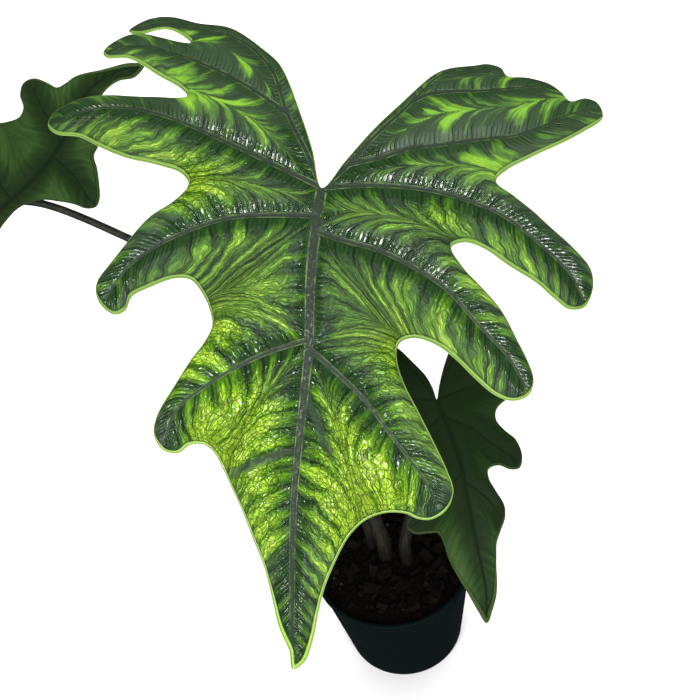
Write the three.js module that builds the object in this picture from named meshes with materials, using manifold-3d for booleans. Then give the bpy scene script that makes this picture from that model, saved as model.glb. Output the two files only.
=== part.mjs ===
// Potted alocasia: a nursery pot filled with bark mix, and three deeply lobed leaves on tall petioles.
// Millimetres, +Z up, origin in the middle of the pot's flat base. The plant's front faces -Y.
import * as THREE from 'three';
import { mergeVertices } from 'three/addons/utils/BufferGeometryUtils.js';
import Module from 'manifold-3d';

const wasm = await Module();
wasm.setup();

// Driving dimensions: the pot
const POT_HEIGHT = 80;
const POT_TOP_RADIUS = 52.5;
const POT_BASE_RADIUS = 40;
const POT_WALL = 1.6;
const POT_FLOOR = 2.2;
const LIP_WIDTH = 1.0;
const LIP_HEIGHT = 3.5;
const LIP_ROUNDING = 0.6;
const BASE_CHAMFER = 1.2;
const POT_SIDES = 48;
const DRAIN_COUNT = 5;
const DRAIN_RADIUS = 4.5;
const DRAIN_CIRCLE = 25;
const HOLE_SIDES = 16;

// Driving dimensions: the soil
const GAP = 0.3;
const SOIL_DEPTH_BELOW_RIM = 5;
const SOIL_MOUND = 4;
const SOIL_LUMP = 0.6;
const SOIL_RINGS = 7;
const BARK_COUNT = 44;
const BARK_LENGTH = 11;
const BARK_WIDTH_SHARE = 0.62;
const BARK_THICKNESS_SHARE = 0.4;
const BARK_TILT = 1.1;
const BARK_LIFT_SHARE = 0.05;
const GOLDEN_ANGLE = 2.4;
const STEM_HOLE_DEPTH = 34;
const STEM_RISE = 14;
const STEM_ROOM = 0.45;

// Driving dimensions: the leaves
const BLADE_EDGE = 0.7;
const BLADE_THICKNESS = 1.2;
const EDGE_TAPER = 8;
const PLEAT_REACH = 16;
const PLEAT_EDGE = 7;
const WAVE_REACH = 9;
const SIDE_VEIN_SIZE = 0.7;
const VEIN_TAPER = 0.65;
const TUBE_SIDES = 10;
const JOIN_SHARE = 1.6;
const WALK_STEPS = 20;

// Triangle sizes of a blade, as shares of the leaf's spacing or of its rib width
const EDGE_STEP = 0.85;
const ROW_STEP = 0.87;
const GRID_ROOM = 0.62;
const VEIN_ROOM = 0.45;
const FLANK_ROOM = 0.36;
const MARGIN_ROOM = 0.8;
const GRID_REACH = 260;
const GRID_JITTER = 0.3;

// Each leaf is drawn flat, in millimetres, and then bent into place.
// x runs to the leaf's right and y towards its rear lobes. The petiole joins at (0, 0), and the tip is at -y.
// seat: where the petiole joins, in the world. turn, roll, slope: the blade's attitude there, in degrees.
// arch: fall of the slope for each mm walked to the rear. rearFold: a further fall over the rear lobes.
// droop: sideways curvature. pleat: height of the blade between main veins. wave: height of the edge's waves.
const leaves = {
  main: {
    seat: [2, 0, 353],
    turn: -23,
    roll: 16,
    slope: 42,
    arch: 0.0025,
    rearFold: 0.000044,
    droop: 0.002,
    pleat: 6.5,
    wave: 1.0,
    waveLength: 46,
    spacing: 6.6,
    ribWidth: 3.4,
    ribHeight: 2.2,
    outline: [
      [0, 0], [-6, 17], [-13, 34], [-27, 62], [-37, 73], [-51, 84],
      [-70, 95], [-88, 104], [-102, 104], [-109, 96], [-101, 90], [-87, 89], [-72, 77],
      [-88, 82], [-106, 87], [-115, 83], [-118, 77], [-114, 70], [-101, 66], [-84, 55], [-71, 46], [-67, 41],
      [-72, 40], [-87, 42], [-107, 43], [-128, 40], [-137, 35], [-138, 28], [-131, 22], [-118, 20],
      [-107, 15], [-91, 9], [-76, 6], [-65, 3], [-61, -2],
      [-67, -11], [-77, -19], [-86, -29], [-95, -42], [-100, -52], [-98, -60], [-91, -65], [-86, -63],
      [-83, -56], [-74, -51], [-62, -46], [-55, -46], [-49, -52], [-45, -59], [-43, -66],
      [-46, -74], [-52, -83], [-60, -97], [-66, -110], [-67, -119], [-63, -126], [-56, -127],
      [-50, -122], [-43, -121], [-38, -124], [-34, -130],
      [-28, -143], [-20, -160], [-13, -176], [-9, -192], [-4, -211], [2, -229], [4, -242], [9, -236],
      [13, -220], [15, -201], [17, -186], [21, -172], [27, -158], [34, -149], [42, -145],
      [51, -145], [58, -148], [64, -148], [70, -143], [72, -133], [68, -123], [60, -109], [52, -96],
      [45, -85], [41, -76], [40, -69],
      [42, -65], [48, -63], [57, -65], [67, -71], [77, -79], [87, -86], [95, -88], [102, -85], [104, -78],
      [101, -70], [93, -58], [85, -47], [75, -37], [66, -29], [60, -21],
      [66, -18], [76, -20], [88, -26], [100, -32], [110, -39], [118, -43], [126, -41], [129, -33],
      [127, -24], [118, -15], [108, -7], [98, 0], [87, 6], [78, 12],
      [83, 19], [95, 28], [108, 37], [120, 48], [130, 60], [127, 68], [121, 69], [113, 65],
      [109, 71], [103, 75], [93, 74], [81, 71], [78, 77], [72, 79], [65, 76], [56, 71], [48, 65],
      [40, 56], [31, 44], [19, 27], [9, 13],
    ],
    midrib: [[0, 0], [-1, -37], [1, -73], [0, -123], [0, -153], [2, -196], [4, -241]],
    veins: [
      [[1, -68], [-16, -75], [-33, -85], [-46, -95], [-57, -106], [-62, -121]],
      [[0, -13], [-17, -14], [-40, -17], [-58, -24], [-74, -33], [-86, -43], [-95, -58]],
      [[0, 0], [-15, 6], [-37, 15], [-59, 24], [-78, 31], [-100, 36], [-133, 32]],
      [[0, 0], [-8, 15], [-19, 34], [-28, 55], [-35, 65], [-45, 75], [-69, 87], [-86, 95], [-106, 98]],
      [[-19, 34], [-28, 40], [-42, 49], [-64, 61], [-93, 75], [-113, 78]],
      [[0, -71], [11, -79], [28, -93], [43, -110], [56, -125], [66, -140]],
      [[0, -20], [13, -23], [29, -26], [47, -33], [61, -41], [76, -55], [92, -69], [101, -82]],
      [[0, 0], [19, 3], [44, 4], [62, 2], [81, -3], [99, -13], [117, -27], [125, -38]],
      [[0, 0], [11, 12], [22, 27], [32, 40], [40, 51], [46, 60], [55, 68], [72, 76]],
      [[11, 12], [26, 17], [39, 23], [51, 26], [67, 31], [86, 37], [98, 44], [110, 54], [125, 64]],
      [[36, 46], [43, 51], [55, 55], [70, 59], [84, 64], [103, 72]],
    ],
  },
  right: {
    seat: [42, 0, 211],
    turn: 4,
    roll: 0,
    slope: 48,
    arch: 0.003,
    rearFold: 0.00012,
    droop: 0.003,
    pleat: 3.6,
    wave: 1.0,
    waveLength: 30,
    spacing: 5.2,
    ribWidth: 2.4,
    ribHeight: 1.6,
    outline: [
      [0, 0], [-1, 7], [-3, 15], [-9, 26], [-15, 35], [-22, 42], [-30, 45], [-34, 41], [-32, 35],
      [-27, 29], [-25, 25], [-31, 22], [-38, 19], [-43, 14], [-43, 7], [-38, 2], [-31, -2], [-27, -8],
      [-30, -17], [-36, -27], [-40, -38], [-38, -45], [-32, -46], [-25, -43], [-19, -45], [-18, -51],
      [-23, -57], [-30, -61], [-33, -66], [-30, -71], [-23, -72], [-17, -73], [-15, -80],
      [-14, -91], [-11, -103], [-8, -113], [-4, -127], [0, -138], [4, -132],
      [10, -112], [12, -100], [14, -88], [18, -82], [22, -76], [23, -68], [20, -58], [18, -50], [19, -45],
      [25, -44], [31, -48], [37, -49], [40, -43], [38, -33], [33, -26], [30, -19], [32, -13], [39, -9],
      [48, -7], [55, -3], [57, 5], [51, 11], [41, 14], [34, 18], [36, 25], [41, 33], [40, 41], [32, 43],
      [23, 37], [14, 25], [8, 16], [4, 8],
    ],
    midrib: [[0, 0], [2, -15], [4, -36], [3, -71], [3, -96], [3, -112], [0, -137]],
    veins: [
      [[3, -44], [-9, -51], [-20, -59], [-30, -66]],
      [[1, -9], [-12, -16], [-25, -28], [-37, -42]],
      [[0, 0], [-14, 4], [-27, 9], [-40, 11]],
      [[0, 0], [-4, 9], [-12, 24], [-21, 35], [-31, 41]],
      [[4, -48], [10, -55], [16, -64], [20, -74]],
      [[2, -11], [13, -18], [24, -31], [37, -45]],
      [[0, 0], [15, 2], [33, 3], [53, 3]],
      [[0, 0], [6, 10], [15, 20], [26, 31], [37, 39]],
    ],
  },
  left: {
    seat: [-208, 133, 306],
    turn: 122,
    roll: -42,
    slope: -19,
    arch: 0.0008,
    rearFold: 0,
    droop: 0.0008,
    pleat: 3.6,
    wave: 1.0,
    waveLength: 34,
    spacing: 5.4,
    ribWidth: 2.6,
    ribHeight: 1.6,
    outline: [
      [0, 0], [-4, 15], [-10, 32], [-18, 47], [-26, 55], [-33, 53], [-34, 45], [-31, 37],
      [-38, 39], [-46, 37], [-48, 31], [-40, 23], [-30, 14], [-20, 4], [-12, -4],
      [-10, -8], [-9, -16], [-9, -24], [-11, -32], [-15, -39], [-23, -45], [-31, -50], [-37, -53], [-40, -58],
      [-38, -63], [-32, -69], [-23, -76], [-15, -81], [-12, -88], [-6, -97], [4, -105], [11, -113],
      [11, -128], [7, -138], [9, -149], [14, -144], [20, -135], [26, -123], [31, -110], [32, -103], [34, -97],
      [40, -95], [47, -91], [49, -84], [45, -77], [38, -73], [34, -66], [36, -59],
      [43, -51], [54, -45], [62, -36], [62, -26], [54, -19], [43, -15], [38, -8],
      [45, 0], [55, 7], [61, 16], [57, 25], [46, 27], [37, 28], [37, 36], [38, 45], [31, 51], [20, 45],
      [11, 31], [5, 15],
    ],
    midrib: [[0, 0], [-2, -20], [-2, -40], [1, -62], [6, -78], [14, -95], [19, -112], [17, -130], [9, -147]],
    veins: [
      [[1, -62], [-10, -63], [-20, -62], [-35, -58]],
      [[-1, -13], [-9, -1], [-24, 14], [-42, 33]],
      [[0, 0], [-5, 15], [-14, 34], [-26, 50]],
      [[4, -72], [14, -76], [28, -80], [44, -86]],
      [[-2, -25], [14, -28], [34, -31], [57, -32]],
      [[0, 0], [15, 2], [34, 10], [55, 19]],
      [[0, 0], [7, 13], [16, 29], [29, 45]],
    ],
  },
};

// Petioles rise from the crown and bend over to the seats. through: points that the stem passes on its way.
const petioles = {
  main: {
    foot: [-4, 2],
    through: [[-7, 6, 120], [-11, 13, 200], [-6, 14, 280], [0, 8, 330]],
    footRadius: 5.2,
    neckRadius: 3.2,
    sheath: 70,
    steps: 22,
  },
  right: {
    foot: [9, -5],
    through: [[13, -4, 110], [24, 2, 150], [36, 8, 190]],
    footRadius: 4.4,
    neckRadius: 2.3,
    sheath: 50,
    steps: 16,
  },
  left: {
    foot: [-11, 14],
    through: [
      [-15, 20, 120], [-35, 50, 190], [-75, 100, 250], [-128, 140, 275], [-180, 160, 301], [-201, 156, 306],
    ],
    footRadius: 4.6,
    neckRadius: 2.5,
    sheath: 60,
    steps: 26,
  },
};

const finish = {
  pot: new THREE.MeshStandardMaterial({ color: 0x151d20, roughness: 0.55, metalness: 0 }),
  soil: new THREE.MeshStandardMaterial({ color: 0x2a1c12, roughness: 0.95, metalness: 0 }),
  petiole: new THREE.MeshStandardMaterial({ color: 0x37302a, roughness: 0.6, metalness: 0 }),
  limeBlade: new THREE.MeshStandardMaterial({ color: 0x5d9420, roughness: 0.35, metalness: 0 }),
  darkBlade: new THREE.MeshStandardMaterial({ color: 0x1d4423, roughness: 0.4, metalness: 0 }),
};

// A repeatable draw between 0 and 1 for each index and channel.
function draw(index, channel) {
  const value = Math.sin(index * 12.9898 + channel * 78.233 + 4.1) * 43758.5453;
  return value - Math.floor(value);
}

// Moves a geometry into manifold's form and back.
function toSolid(geometry) {
  const bare = geometry.clone();
  bare.deleteAttribute('normal');
  bare.deleteAttribute('uv');
  const merged = mergeVertices(bare, 1e-4);
  return new wasm.Manifold(new wasm.Mesh({
    numProp: 3,
    vertProperties: new Float32Array(merged.attributes.position.array),
    triVerts: new Uint32Array(merged.index.array),
  }));
}

function toGeometry(solid) {
  const mesh = solid.getMesh();
  const geometry = new THREE.BufferGeometry();
  geometry.setAttribute('position', new THREE.BufferAttribute(new Float32Array(mesh.vertProperties), 3));
  geometry.setIndex(new THREE.BufferAttribute(new Uint32Array(mesh.triVerts), 1));
  return geometry;
}

function geometryFrom(points, triangles) {
  const geometry = new THREE.BufferGeometry();
  geometry.setAttribute('position', new THREE.Float32BufferAttribute(points.flat(), 3));
  geometry.setIndex(triangles.flat());
  return geometry;
}

// Flat drawing tools: points along a curve, distances and the inside test
function sampled(points, spacing, closed) {
  const flat = points.map(([x, y]) => new THREE.Vector3(x, y, 0));
  const curve = new THREE.CatmullRomCurve3(flat, closed, 'centripetal');
  const count = Math.max(2, Math.round(curve.getLength() / spacing));
  const steps = curve.getSpacedPoints(count).map((p) => [p.x, p.y]);
  return closed ? steps.slice(0, -1) : steps;
}

function nearestOnPath(path, x, y) {
  let best = { distance: Infinity, along: 0 };
  for (let i = 0; i + 1 < path.length; i += 1) {
    const [ax, ay] = path[i];
    const [bx, by] = path[i + 1];
    const dx = bx - ax;
    const dy = by - ay;
    const t = THREE.MathUtils.clamp(((x - ax) * dx + (y - ay) * dy) / (dx * dx + dy * dy), 0, 1);
    const distance = Math.hypot(x - ax - t * dx, y - ay - t * dy);
    if (distance < best.distance) best = { distance, along: (i + t) / (path.length - 1) };
  }
  return best;
}

function isInside(outline, x, y) {
  let inside = false;
  outline.forEach(([ax, ay], i) => {
    const [bx, by] = outline[(i + 1) % outline.length];
    if (ay > y !== by > y && x < ((bx - ax) * (y - ay)) / (by - ay) + ax) inside = !inside;
  });
  return inside;
}

// Delaunay triangulation: each point carves out the circles that hold it and is joined to the hole's rim.
function triangulate(points) {
  const far = GRID_REACH * 16;
  const all = [...points, [-far, -far], [far, -far], [0, far]];
  const n = points.length;
  const withCircle = (a, b, c) => {
    const [ax, ay] = all[a];
    const [bx, by] = all[b];
    const [cx, cy] = all[c];
    const d = 2 * (ax * (by - cy) + bx * (cy - ay) + cx * (ay - by));
    const aa = ax * ax + ay * ay;
    const bb = bx * bx + by * by;
    const cc = cx * cx + cy * cy;
    const x = (aa * (by - cy) + bb * (cy - ay) + cc * (ay - by)) / d;
    const y = (aa * (cx - bx) + bb * (ax - cx) + cc * (bx - ax)) / d;
    return { corners: [a, b, c], x, y, reach: (ax - x) ** 2 + (ay - y) ** 2 };
  };
  let triangles = [withCircle(n, n + 1, n + 2)];
  points.forEach(([px, py], p) => {
    const rim = new Map();
    triangles = triangles.filter(({ corners, x, y, reach }) => {
      if ((px - x) ** 2 + (py - y) ** 2 >= reach) return true;
      corners.forEach((a, i) => {
        const b = corners[(i + 1) % 3];
        if (!rim.delete(`${b} ${a}`)) rim.set(`${a} ${b}`, [a, b]);
      });
      return false;
    });
    rim.forEach(([a, b]) => triangles.push(withCircle(a, b, p)));
  });
  return triangles.map(({ corners }) => corners).filter((corners) => Math.max(...corners) < n);
}

// The blade's bend: a point of the flat drawing, raised by lift from the sheet, goes to its place.
function slopeAt(leaf, y) {
  const rear = Math.max(0, y);
  return THREE.MathUtils.degToRad(leaf.slope) - leaf.arch * y - leaf.rearFold * rear * rear;
}

function bladePoint(leaf, x, y, lift) {
  const step = y / WALK_STEPS;
  let back = 0;
  let up = 0;
  for (let i = 0; i < WALK_STEPS; i += 1) {
    const slope = slopeAt(leaf, (i + 0.5) * step);
    back += Math.cos(slope) * step;
    up += Math.sin(slope) * step;
  }
  const slope = slopeAt(leaf, y);
  const bend = x * leaf.droop;
  const across = Math.sin(bend) / leaf.droop + lift * Math.sin(bend);
  const rise = (Math.cos(bend) - 1) / leaf.droop + lift * Math.cos(bend);
  const point = new THREE.Vector3(across, back - rise * Math.sin(slope), up + rise * Math.cos(slope));
  const start = slopeAt(leaf, 0);
  const spine = new THREE.Vector3(0, Math.cos(start), Math.sin(start));
  point.applyAxisAngle(spine, THREE.MathUtils.degToRad(leaf.roll));
  point.applyAxisAngle(new THREE.Vector3(0, 0, 1), THREE.MathUtils.degToRad(leaf.turn));
  return point.add(new THREE.Vector3(...leaf.seat));
}

// The sheet is pleated: main veins lie in valleys, the blade swells between them, and the edge waves.
function reliefOf(leaf, ribs, edge, x, y) {
  let vein = { distance: Infinity, along: 0, size: 1 };
  ribs.forEach(({ path, size }) => {
    const near = nearestOnPath(path, x, y);
    if (near.distance < vein.distance) vein = { ...near, size };
  });
  const margin = nearestOnPath(edge, x, y);
  const girth = edge.length * leaf.spacing;
  const pleat = leaf.pleat * Math.tanh(vein.distance / PLEAT_REACH);
  const swell = pleat * (1 - Math.exp(-margin.distance / PLEAT_EDGE));
  const turns = Math.round(girth / leaf.waveLength);
  const wave = leaf.wave * Math.sin(margin.along * turns * 2 * Math.PI);
  const ripple = wave * Math.exp(-margin.distance / WAVE_REACH);
  const taper = 1 - VEIN_TAPER * vein.along;
  const width = leaf.ribWidth * vein.size * taper;
  const rib = leaf.ribHeight * vein.size * taper * Math.max(0, 1 - (vein.distance / width) ** 2);
  const sheet = BLADE_EDGE + (BLADE_THICKNESS - BLADE_EDGE) * (1 - Math.exp(-margin.distance / EDGE_TAPER));
  return { top: swell + ripple, thickness: sheet + rib };
}

// A blade: one triangulation of the flat outline, used for both faces, with the edge closed.
function bladeGeometry(leaf) {
  const outline = sampled(leaf.outline, leaf.spacing * EDGE_STEP, true);
  const edge = [...outline, outline[0]];
  const ribs = [
    { path: sampled(leaf.midrib, leaf.spacing, false), size: 1 },
    ...leaf.veins.map((vein) => ({ path: sampled(vein, leaf.spacing, false), size: SIDE_VEIN_SIZE })),
  ];
  const points = [...outline];
  const clear = (x, y, room) => points.every(([px, py]) => Math.hypot(px - x, py - y) > room);
  const add = (x, y, room) => {
    const margin = nearestOnPath(edge, x, y).distance;
    if (isInside(outline, x, y) && margin > room * MARGIN_ROOM && clear(x, y, room)) points.push([x, y]);
  };
  ribs.forEach(({ path }) => path.forEach(([x, y]) => add(x, y, leaf.spacing * VEIN_ROOM)));
  ribs.forEach(({ path, size }) => path.slice(1, -1).forEach(([x, y], i) => {
    const [ax, ay] = path[i];
    const [bx, by] = path[i + 2];
    const long = Math.hypot(bx - ax, by - ay);
    const side = (leaf.ribWidth * size * (1 - (VEIN_TAPER * (i + 1)) / path.length)) / long;
    add(x - (by - ay) * side, y + (bx - ax) * side, leaf.ribWidth * FLANK_ROOM);
    add(x + (by - ay) * side, y - (bx - ax) * side, leaf.ribWidth * FLANK_ROOM);
  }));
  const reach = Math.ceil(GRID_REACH / leaf.spacing);
  for (let row = -reach; row <= reach; row += 1) {
    for (let column = -reach; column <= reach; column += 1) {
      const cell = row * (2 * reach + 1) + column;
      const x = (column + (row % 2 === 0 ? 0 : 0.5)) * leaf.spacing + GRID_JITTER * draw(cell, 1);
      const y = row * ROW_STEP * leaf.spacing + GRID_JITTER * draw(cell, 2);
      add(x, y, leaf.spacing * GRID_ROOM);
    }
  }
  const faces = triangulate(points).filter((corners) => {
    const [x, y] = [0, 1].map((k) => corners.reduce((sum, c) => sum + points[c][k], 0) / 3);
    return isInside(outline, x, y);
  });
  const turnedUp = faces.map(([a, b, c]) => {
    const [[ax, ay], [bx, by], [cx, cy]] = [points[a], points[b], points[c]];
    return (bx - ax) * (cy - ay) - (by - ay) * (cx - ax) > 0 ? [a, b, c] : [a, c, b];
  });
  const count = points.length;
  const upper = [];
  const lower = [];
  points.forEach(([x, y]) => {
    const { top, thickness } = reliefOf(leaf, ribs, edge, x, y);
    upper.push(bladePoint(leaf, x, y, top).toArray());
    lower.push(bladePoint(leaf, x, y, top - thickness).toArray());
  });
  const triangles = [...turnedUp, ...turnedUp.map(([a, b, c]) => [a + count, c + count, b + count])];
  outline.forEach((_, i) => {
    const j = (i + 1) % outline.length;
    triangles.push([i, i + count, j], [j, i + count, j + count]);
  });
  return geometryFrom([...upper, ...lower], triangles);
}

// A petiole: rings along a curve, thick in its sheath, cut at the top in line with the blade's underside.
function petioleGeometry(stem, leaf) {
  const below = BLADE_THICKNESS + leaf.ribHeight + GAP;
  const join = -stem.neckRadius * JOIN_SHARE;
  const top = bladePoint(leaf, 0, join, -below);
  const face = bladePoint(leaf, 0, join, 0).sub(top).normalize();
  const foot = POT_HEIGHT - SOIL_DEPTH_BELOW_RIM + SOIL_MOUND - STEM_HOLE_DEPTH + GAP;
  const [fx, fy] = stem.foot;
  const heights = [foot, (foot + POT_HEIGHT) / 2, POT_HEIGHT, POT_HEIGHT + STEM_RISE];
  const straight = heights.map((z) => [fx, fy, z]);
  const route = [...straight, ...stem.through].map((p) => new THREE.Vector3(...p));
  const curve = new THREE.CatmullRomCurve3([...route, top], false, 'centripetal');
  const length = curve.getLength();
  const frames = curve.computeFrenetFrames(stem.steps, false);
  const points = [];
  for (let i = 0; i <= stem.steps; i += 1) {
    const centre = curve.getPointAt(i / stem.steps);
    const walked = (i / stem.steps) * length - (POT_HEIGHT - foot);
    const swell = (stem.footRadius - stem.neckRadius) * Math.exp(-((Math.max(0, walked) / stem.sheath) ** 2));
    const radius = stem.neckRadius + swell;
    for (let k = 0; k < TUBE_SIDES; k += 1) {
      const angle = (k / TUBE_SIDES) * 2 * Math.PI;
      const spoke = frames.normals[i].clone().multiplyScalar(Math.cos(angle) * radius);
      spoke.addScaledVector(frames.binormals[i], Math.sin(angle) * radius);
      if (i === stem.steps) {
        const tangent = frames.tangents[i];
        spoke.addScaledVector(tangent, -spoke.dot(face) / tangent.dot(face));
      }
      points.push(centre.clone().add(spoke).toArray());
    }
  }
  const triangles = [];
  for (let i = 0; i < stem.steps; i += 1) {
    for (let k = 0; k < TUBE_SIDES; k += 1) {
      const a = i * TUBE_SIDES + k;
      const b = i * TUBE_SIDES + ((k + 1) % TUBE_SIDES);
      triangles.push([a, b, b + TUBE_SIDES], [a, b + TUBE_SIDES, a + TUBE_SIDES]);
    }
  }
  const last = stem.steps * TUBE_SIDES;
  for (let k = 1; k + 1 < TUBE_SIDES; k += 1) {
    triangles.push([0, k + 1, k], [last, last + k, last + k + 1]);
  }
  return geometryFrom(points, triangles);
}

// The pot: a turned cup with a flat floor, a small lip and drain holes in the floor.
function wallRadius(z) {
  return POT_BASE_RADIUS + ((POT_TOP_RADIUS - LIP_WIDTH - POT_BASE_RADIUS) * z) / POT_HEIGHT;
}

function potGeometry() {
  const lipFoot = POT_HEIGHT - LIP_HEIGHT;
  const profile = [
    [0, 0],
    [POT_BASE_RADIUS - BASE_CHAMFER, 0],
    [wallRadius(BASE_CHAMFER), BASE_CHAMFER],
    [wallRadius(lipFoot), lipFoot],
    [POT_TOP_RADIUS, lipFoot + LIP_WIDTH],
    [POT_TOP_RADIUS, POT_HEIGHT - LIP_ROUNDING],
    [POT_TOP_RADIUS - LIP_ROUNDING, POT_HEIGHT],
    [wallRadius(POT_HEIGHT) - POT_WALL, POT_HEIGHT],
    [wallRadius(POT_FLOOR) - POT_WALL, POT_FLOOR],
    [0, POT_FLOOR],
  ].map(([r, z]) => new THREE.Vector2(r, z));
  const cup = new THREE.LatheGeometry(profile, POT_SIDES).rotateX(Math.PI / 2);
  let solid = toSolid(cup);
  for (let i = 0; i < DRAIN_COUNT; i += 1) {
    const angle = (i / DRAIN_COUNT) * 2 * Math.PI;
    const drain = new THREE.CylinderGeometry(DRAIN_RADIUS, DRAIN_RADIUS, POT_FLOOR * 4, HOLE_SIDES);
    drain.rotateX(Math.PI / 2);
    drain.translate(Math.cos(angle) * DRAIN_CIRCLE, Math.sin(angle) * DRAIN_CIRCLE, POT_FLOOR / 2);
    solid = solid.subtract(toSolid(drain));
  }
  return toGeometry(solid);
}

// The soil: a plug of bark mix that fills the pot, mounded to the crown, with chips of bark on top.
function soilHeight(r, angle) {
  const rim = POT_HEIGHT - SOIL_DEPTH_BELOW_RIM;
  const lump = Math.sin(r * 0.31 + 2 * Math.sin(angle * 3)) + Math.sin(r * 0.17 + angle * 5);
  return rim + SOIL_MOUND * (1 - (r / POT_TOP_RADIUS) ** 2) + SOIL_LUMP * lump;
}

function soilGeometry() {
  const floor = POT_FLOOR + GAP;
  const rim = POT_HEIGHT - SOIL_DEPTH_BELOW_RIM;
  const topRadius = wallRadius(rim) - POT_WALL - GAP;
  const floorRadius = wallRadius(floor) - POT_WALL - GAP;
  const profile = [[0, floor], [floorRadius, floor]];
  for (let ring = SOIL_RINGS; ring > 0; ring -= 1) profile.push([(topRadius * ring) / SOIL_RINGS, rim]);
  profile.push([0, rim]);
  const plug = new THREE.LatheGeometry(profile.map(([r, z]) => new THREE.Vector2(r, z)), POT_SIDES);
  plug.rotateX(Math.PI / 2);
  const position = plug.attributes.position;
  for (let i = 0; i < position.count; i += 1) {
    const [x, y, z] = [position.getX(i), position.getY(i), position.getZ(i)];
    const r = Math.hypot(x, y);
    if (Math.abs(z - rim) < 0.01 && r < topRadius - 1) {
      position.setZ(i, soilHeight(r, r < 0.01 ? 0 : Math.atan2(y, x)));
    }
  }
  let solid = toSolid(plug);
  for (let i = 0; i < BARK_COUNT; i += 1) {
    const reach = Math.sqrt(draw(i, 3)) * (topRadius - BARK_LENGTH * 0.75);
    const angle = i * GOLDEN_ANGLE;
    const size = BARK_LENGTH * (0.5 + 0.5 * draw(i, 4));
    const height = soilHeight(reach, angle) + size * BARK_LIFT_SHARE;
    const chip = new THREE.BoxGeometry(size, size * BARK_WIDTH_SHARE, size * BARK_THICKNESS_SHARE);
    chip.rotateX((draw(i, 5) - 0.5) * BARK_TILT);
    chip.rotateY((draw(i, 6) - 0.5) * BARK_TILT);
    chip.rotateZ(draw(i, 7) * Math.PI);
    chip.translate(Math.cos(angle) * reach, Math.sin(angle) * reach, height);
    solid = solid.add(toSolid(chip));
  }
  Object.values(petioles).forEach(({ foot, footRadius }) => {
    const room = footRadius + STEM_ROOM;
    const hole = new THREE.CylinderGeometry(room, room, STEM_HOLE_DEPTH * 2, HOLE_SIDES);
    hole.rotateX(Math.PI / 2);
    hole.translate(foot[0], foot[1], rim + SOIL_MOUND);
    solid = solid.subtract(toSolid(hole));
  });
  return toGeometry(solid);
}

function named(name, geometry, material) {
  const mesh = new THREE.Mesh(geometry, material);
  mesh.name = name;
  return mesh;
}

const plant = new THREE.Group();
plant.add(named('pot', potGeometry(), finish.pot));
plant.add(named('soil', soilGeometry(), finish.soil));
Object.entries(leaves).forEach(([side, leaf]) => {
  const blade = side === 'main' ? finish.limeBlade : finish.darkBlade;
  plant.add(named(`${side}_petiole`, petioleGeometry(petioles[side], leaf), finish.petiole));
  plant.add(named(`${side}_blade`, bladeGeometry(leaf), blade));
});

export default plant;
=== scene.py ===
"""A potted alocasia: three deeply lobed, puckered leaves in a dark nursery pot of bark mix."""
import math

import bpy
import numpy as np
from bpy.props import FloatProperty, FloatVectorProperty, IntProperty, PointerProperty
from mathutils import Matrix, Vector, noise
from mathutils.geometry import delaunay_2d_cdt
from mathutils.kdtree import KDTree


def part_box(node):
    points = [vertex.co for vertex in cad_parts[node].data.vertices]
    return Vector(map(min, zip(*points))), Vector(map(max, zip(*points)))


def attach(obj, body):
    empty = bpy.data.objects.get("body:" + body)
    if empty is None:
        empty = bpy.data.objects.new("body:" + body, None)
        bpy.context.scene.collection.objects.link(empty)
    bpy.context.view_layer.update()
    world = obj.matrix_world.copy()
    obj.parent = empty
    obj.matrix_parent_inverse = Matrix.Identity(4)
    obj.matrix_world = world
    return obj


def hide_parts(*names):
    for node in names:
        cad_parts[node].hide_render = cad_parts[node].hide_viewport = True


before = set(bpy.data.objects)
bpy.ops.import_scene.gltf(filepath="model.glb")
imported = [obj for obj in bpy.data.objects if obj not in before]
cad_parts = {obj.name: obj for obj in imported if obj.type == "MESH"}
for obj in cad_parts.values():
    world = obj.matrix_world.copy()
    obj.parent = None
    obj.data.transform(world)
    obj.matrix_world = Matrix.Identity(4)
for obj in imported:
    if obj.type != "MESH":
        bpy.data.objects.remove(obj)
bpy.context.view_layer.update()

bl_info = {
    "name": "Potted Alocasia",
    "version": (1, 0, 0),
    "blender": (4, 5, 0),
    "location": "View3D > Sidebar > Alocasia",
    "description": "Makes a potted alocasia with puckered, glossy leaves",
    "category": "Add Mesh",
}

MM = 0.001
MM_PER_CM = 10
CM2_PER_M2 = 1e4
BODY = "root"

# The bend of a blade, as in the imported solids
BLADE_EDGE = 0.7
BLADE_THICKNESS = 1.2
EDGE_TAPER = 8.0
PLEAT_REACH = 16.0
PLEAT_EDGE = 7.0
WAVE_REACH = 9.0
SIDE_VEIN_SIZE = 0.7
VEIN_TAPER = 0.65
WALK_STEPS = 20
CURVE_STEPS = 24

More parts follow.
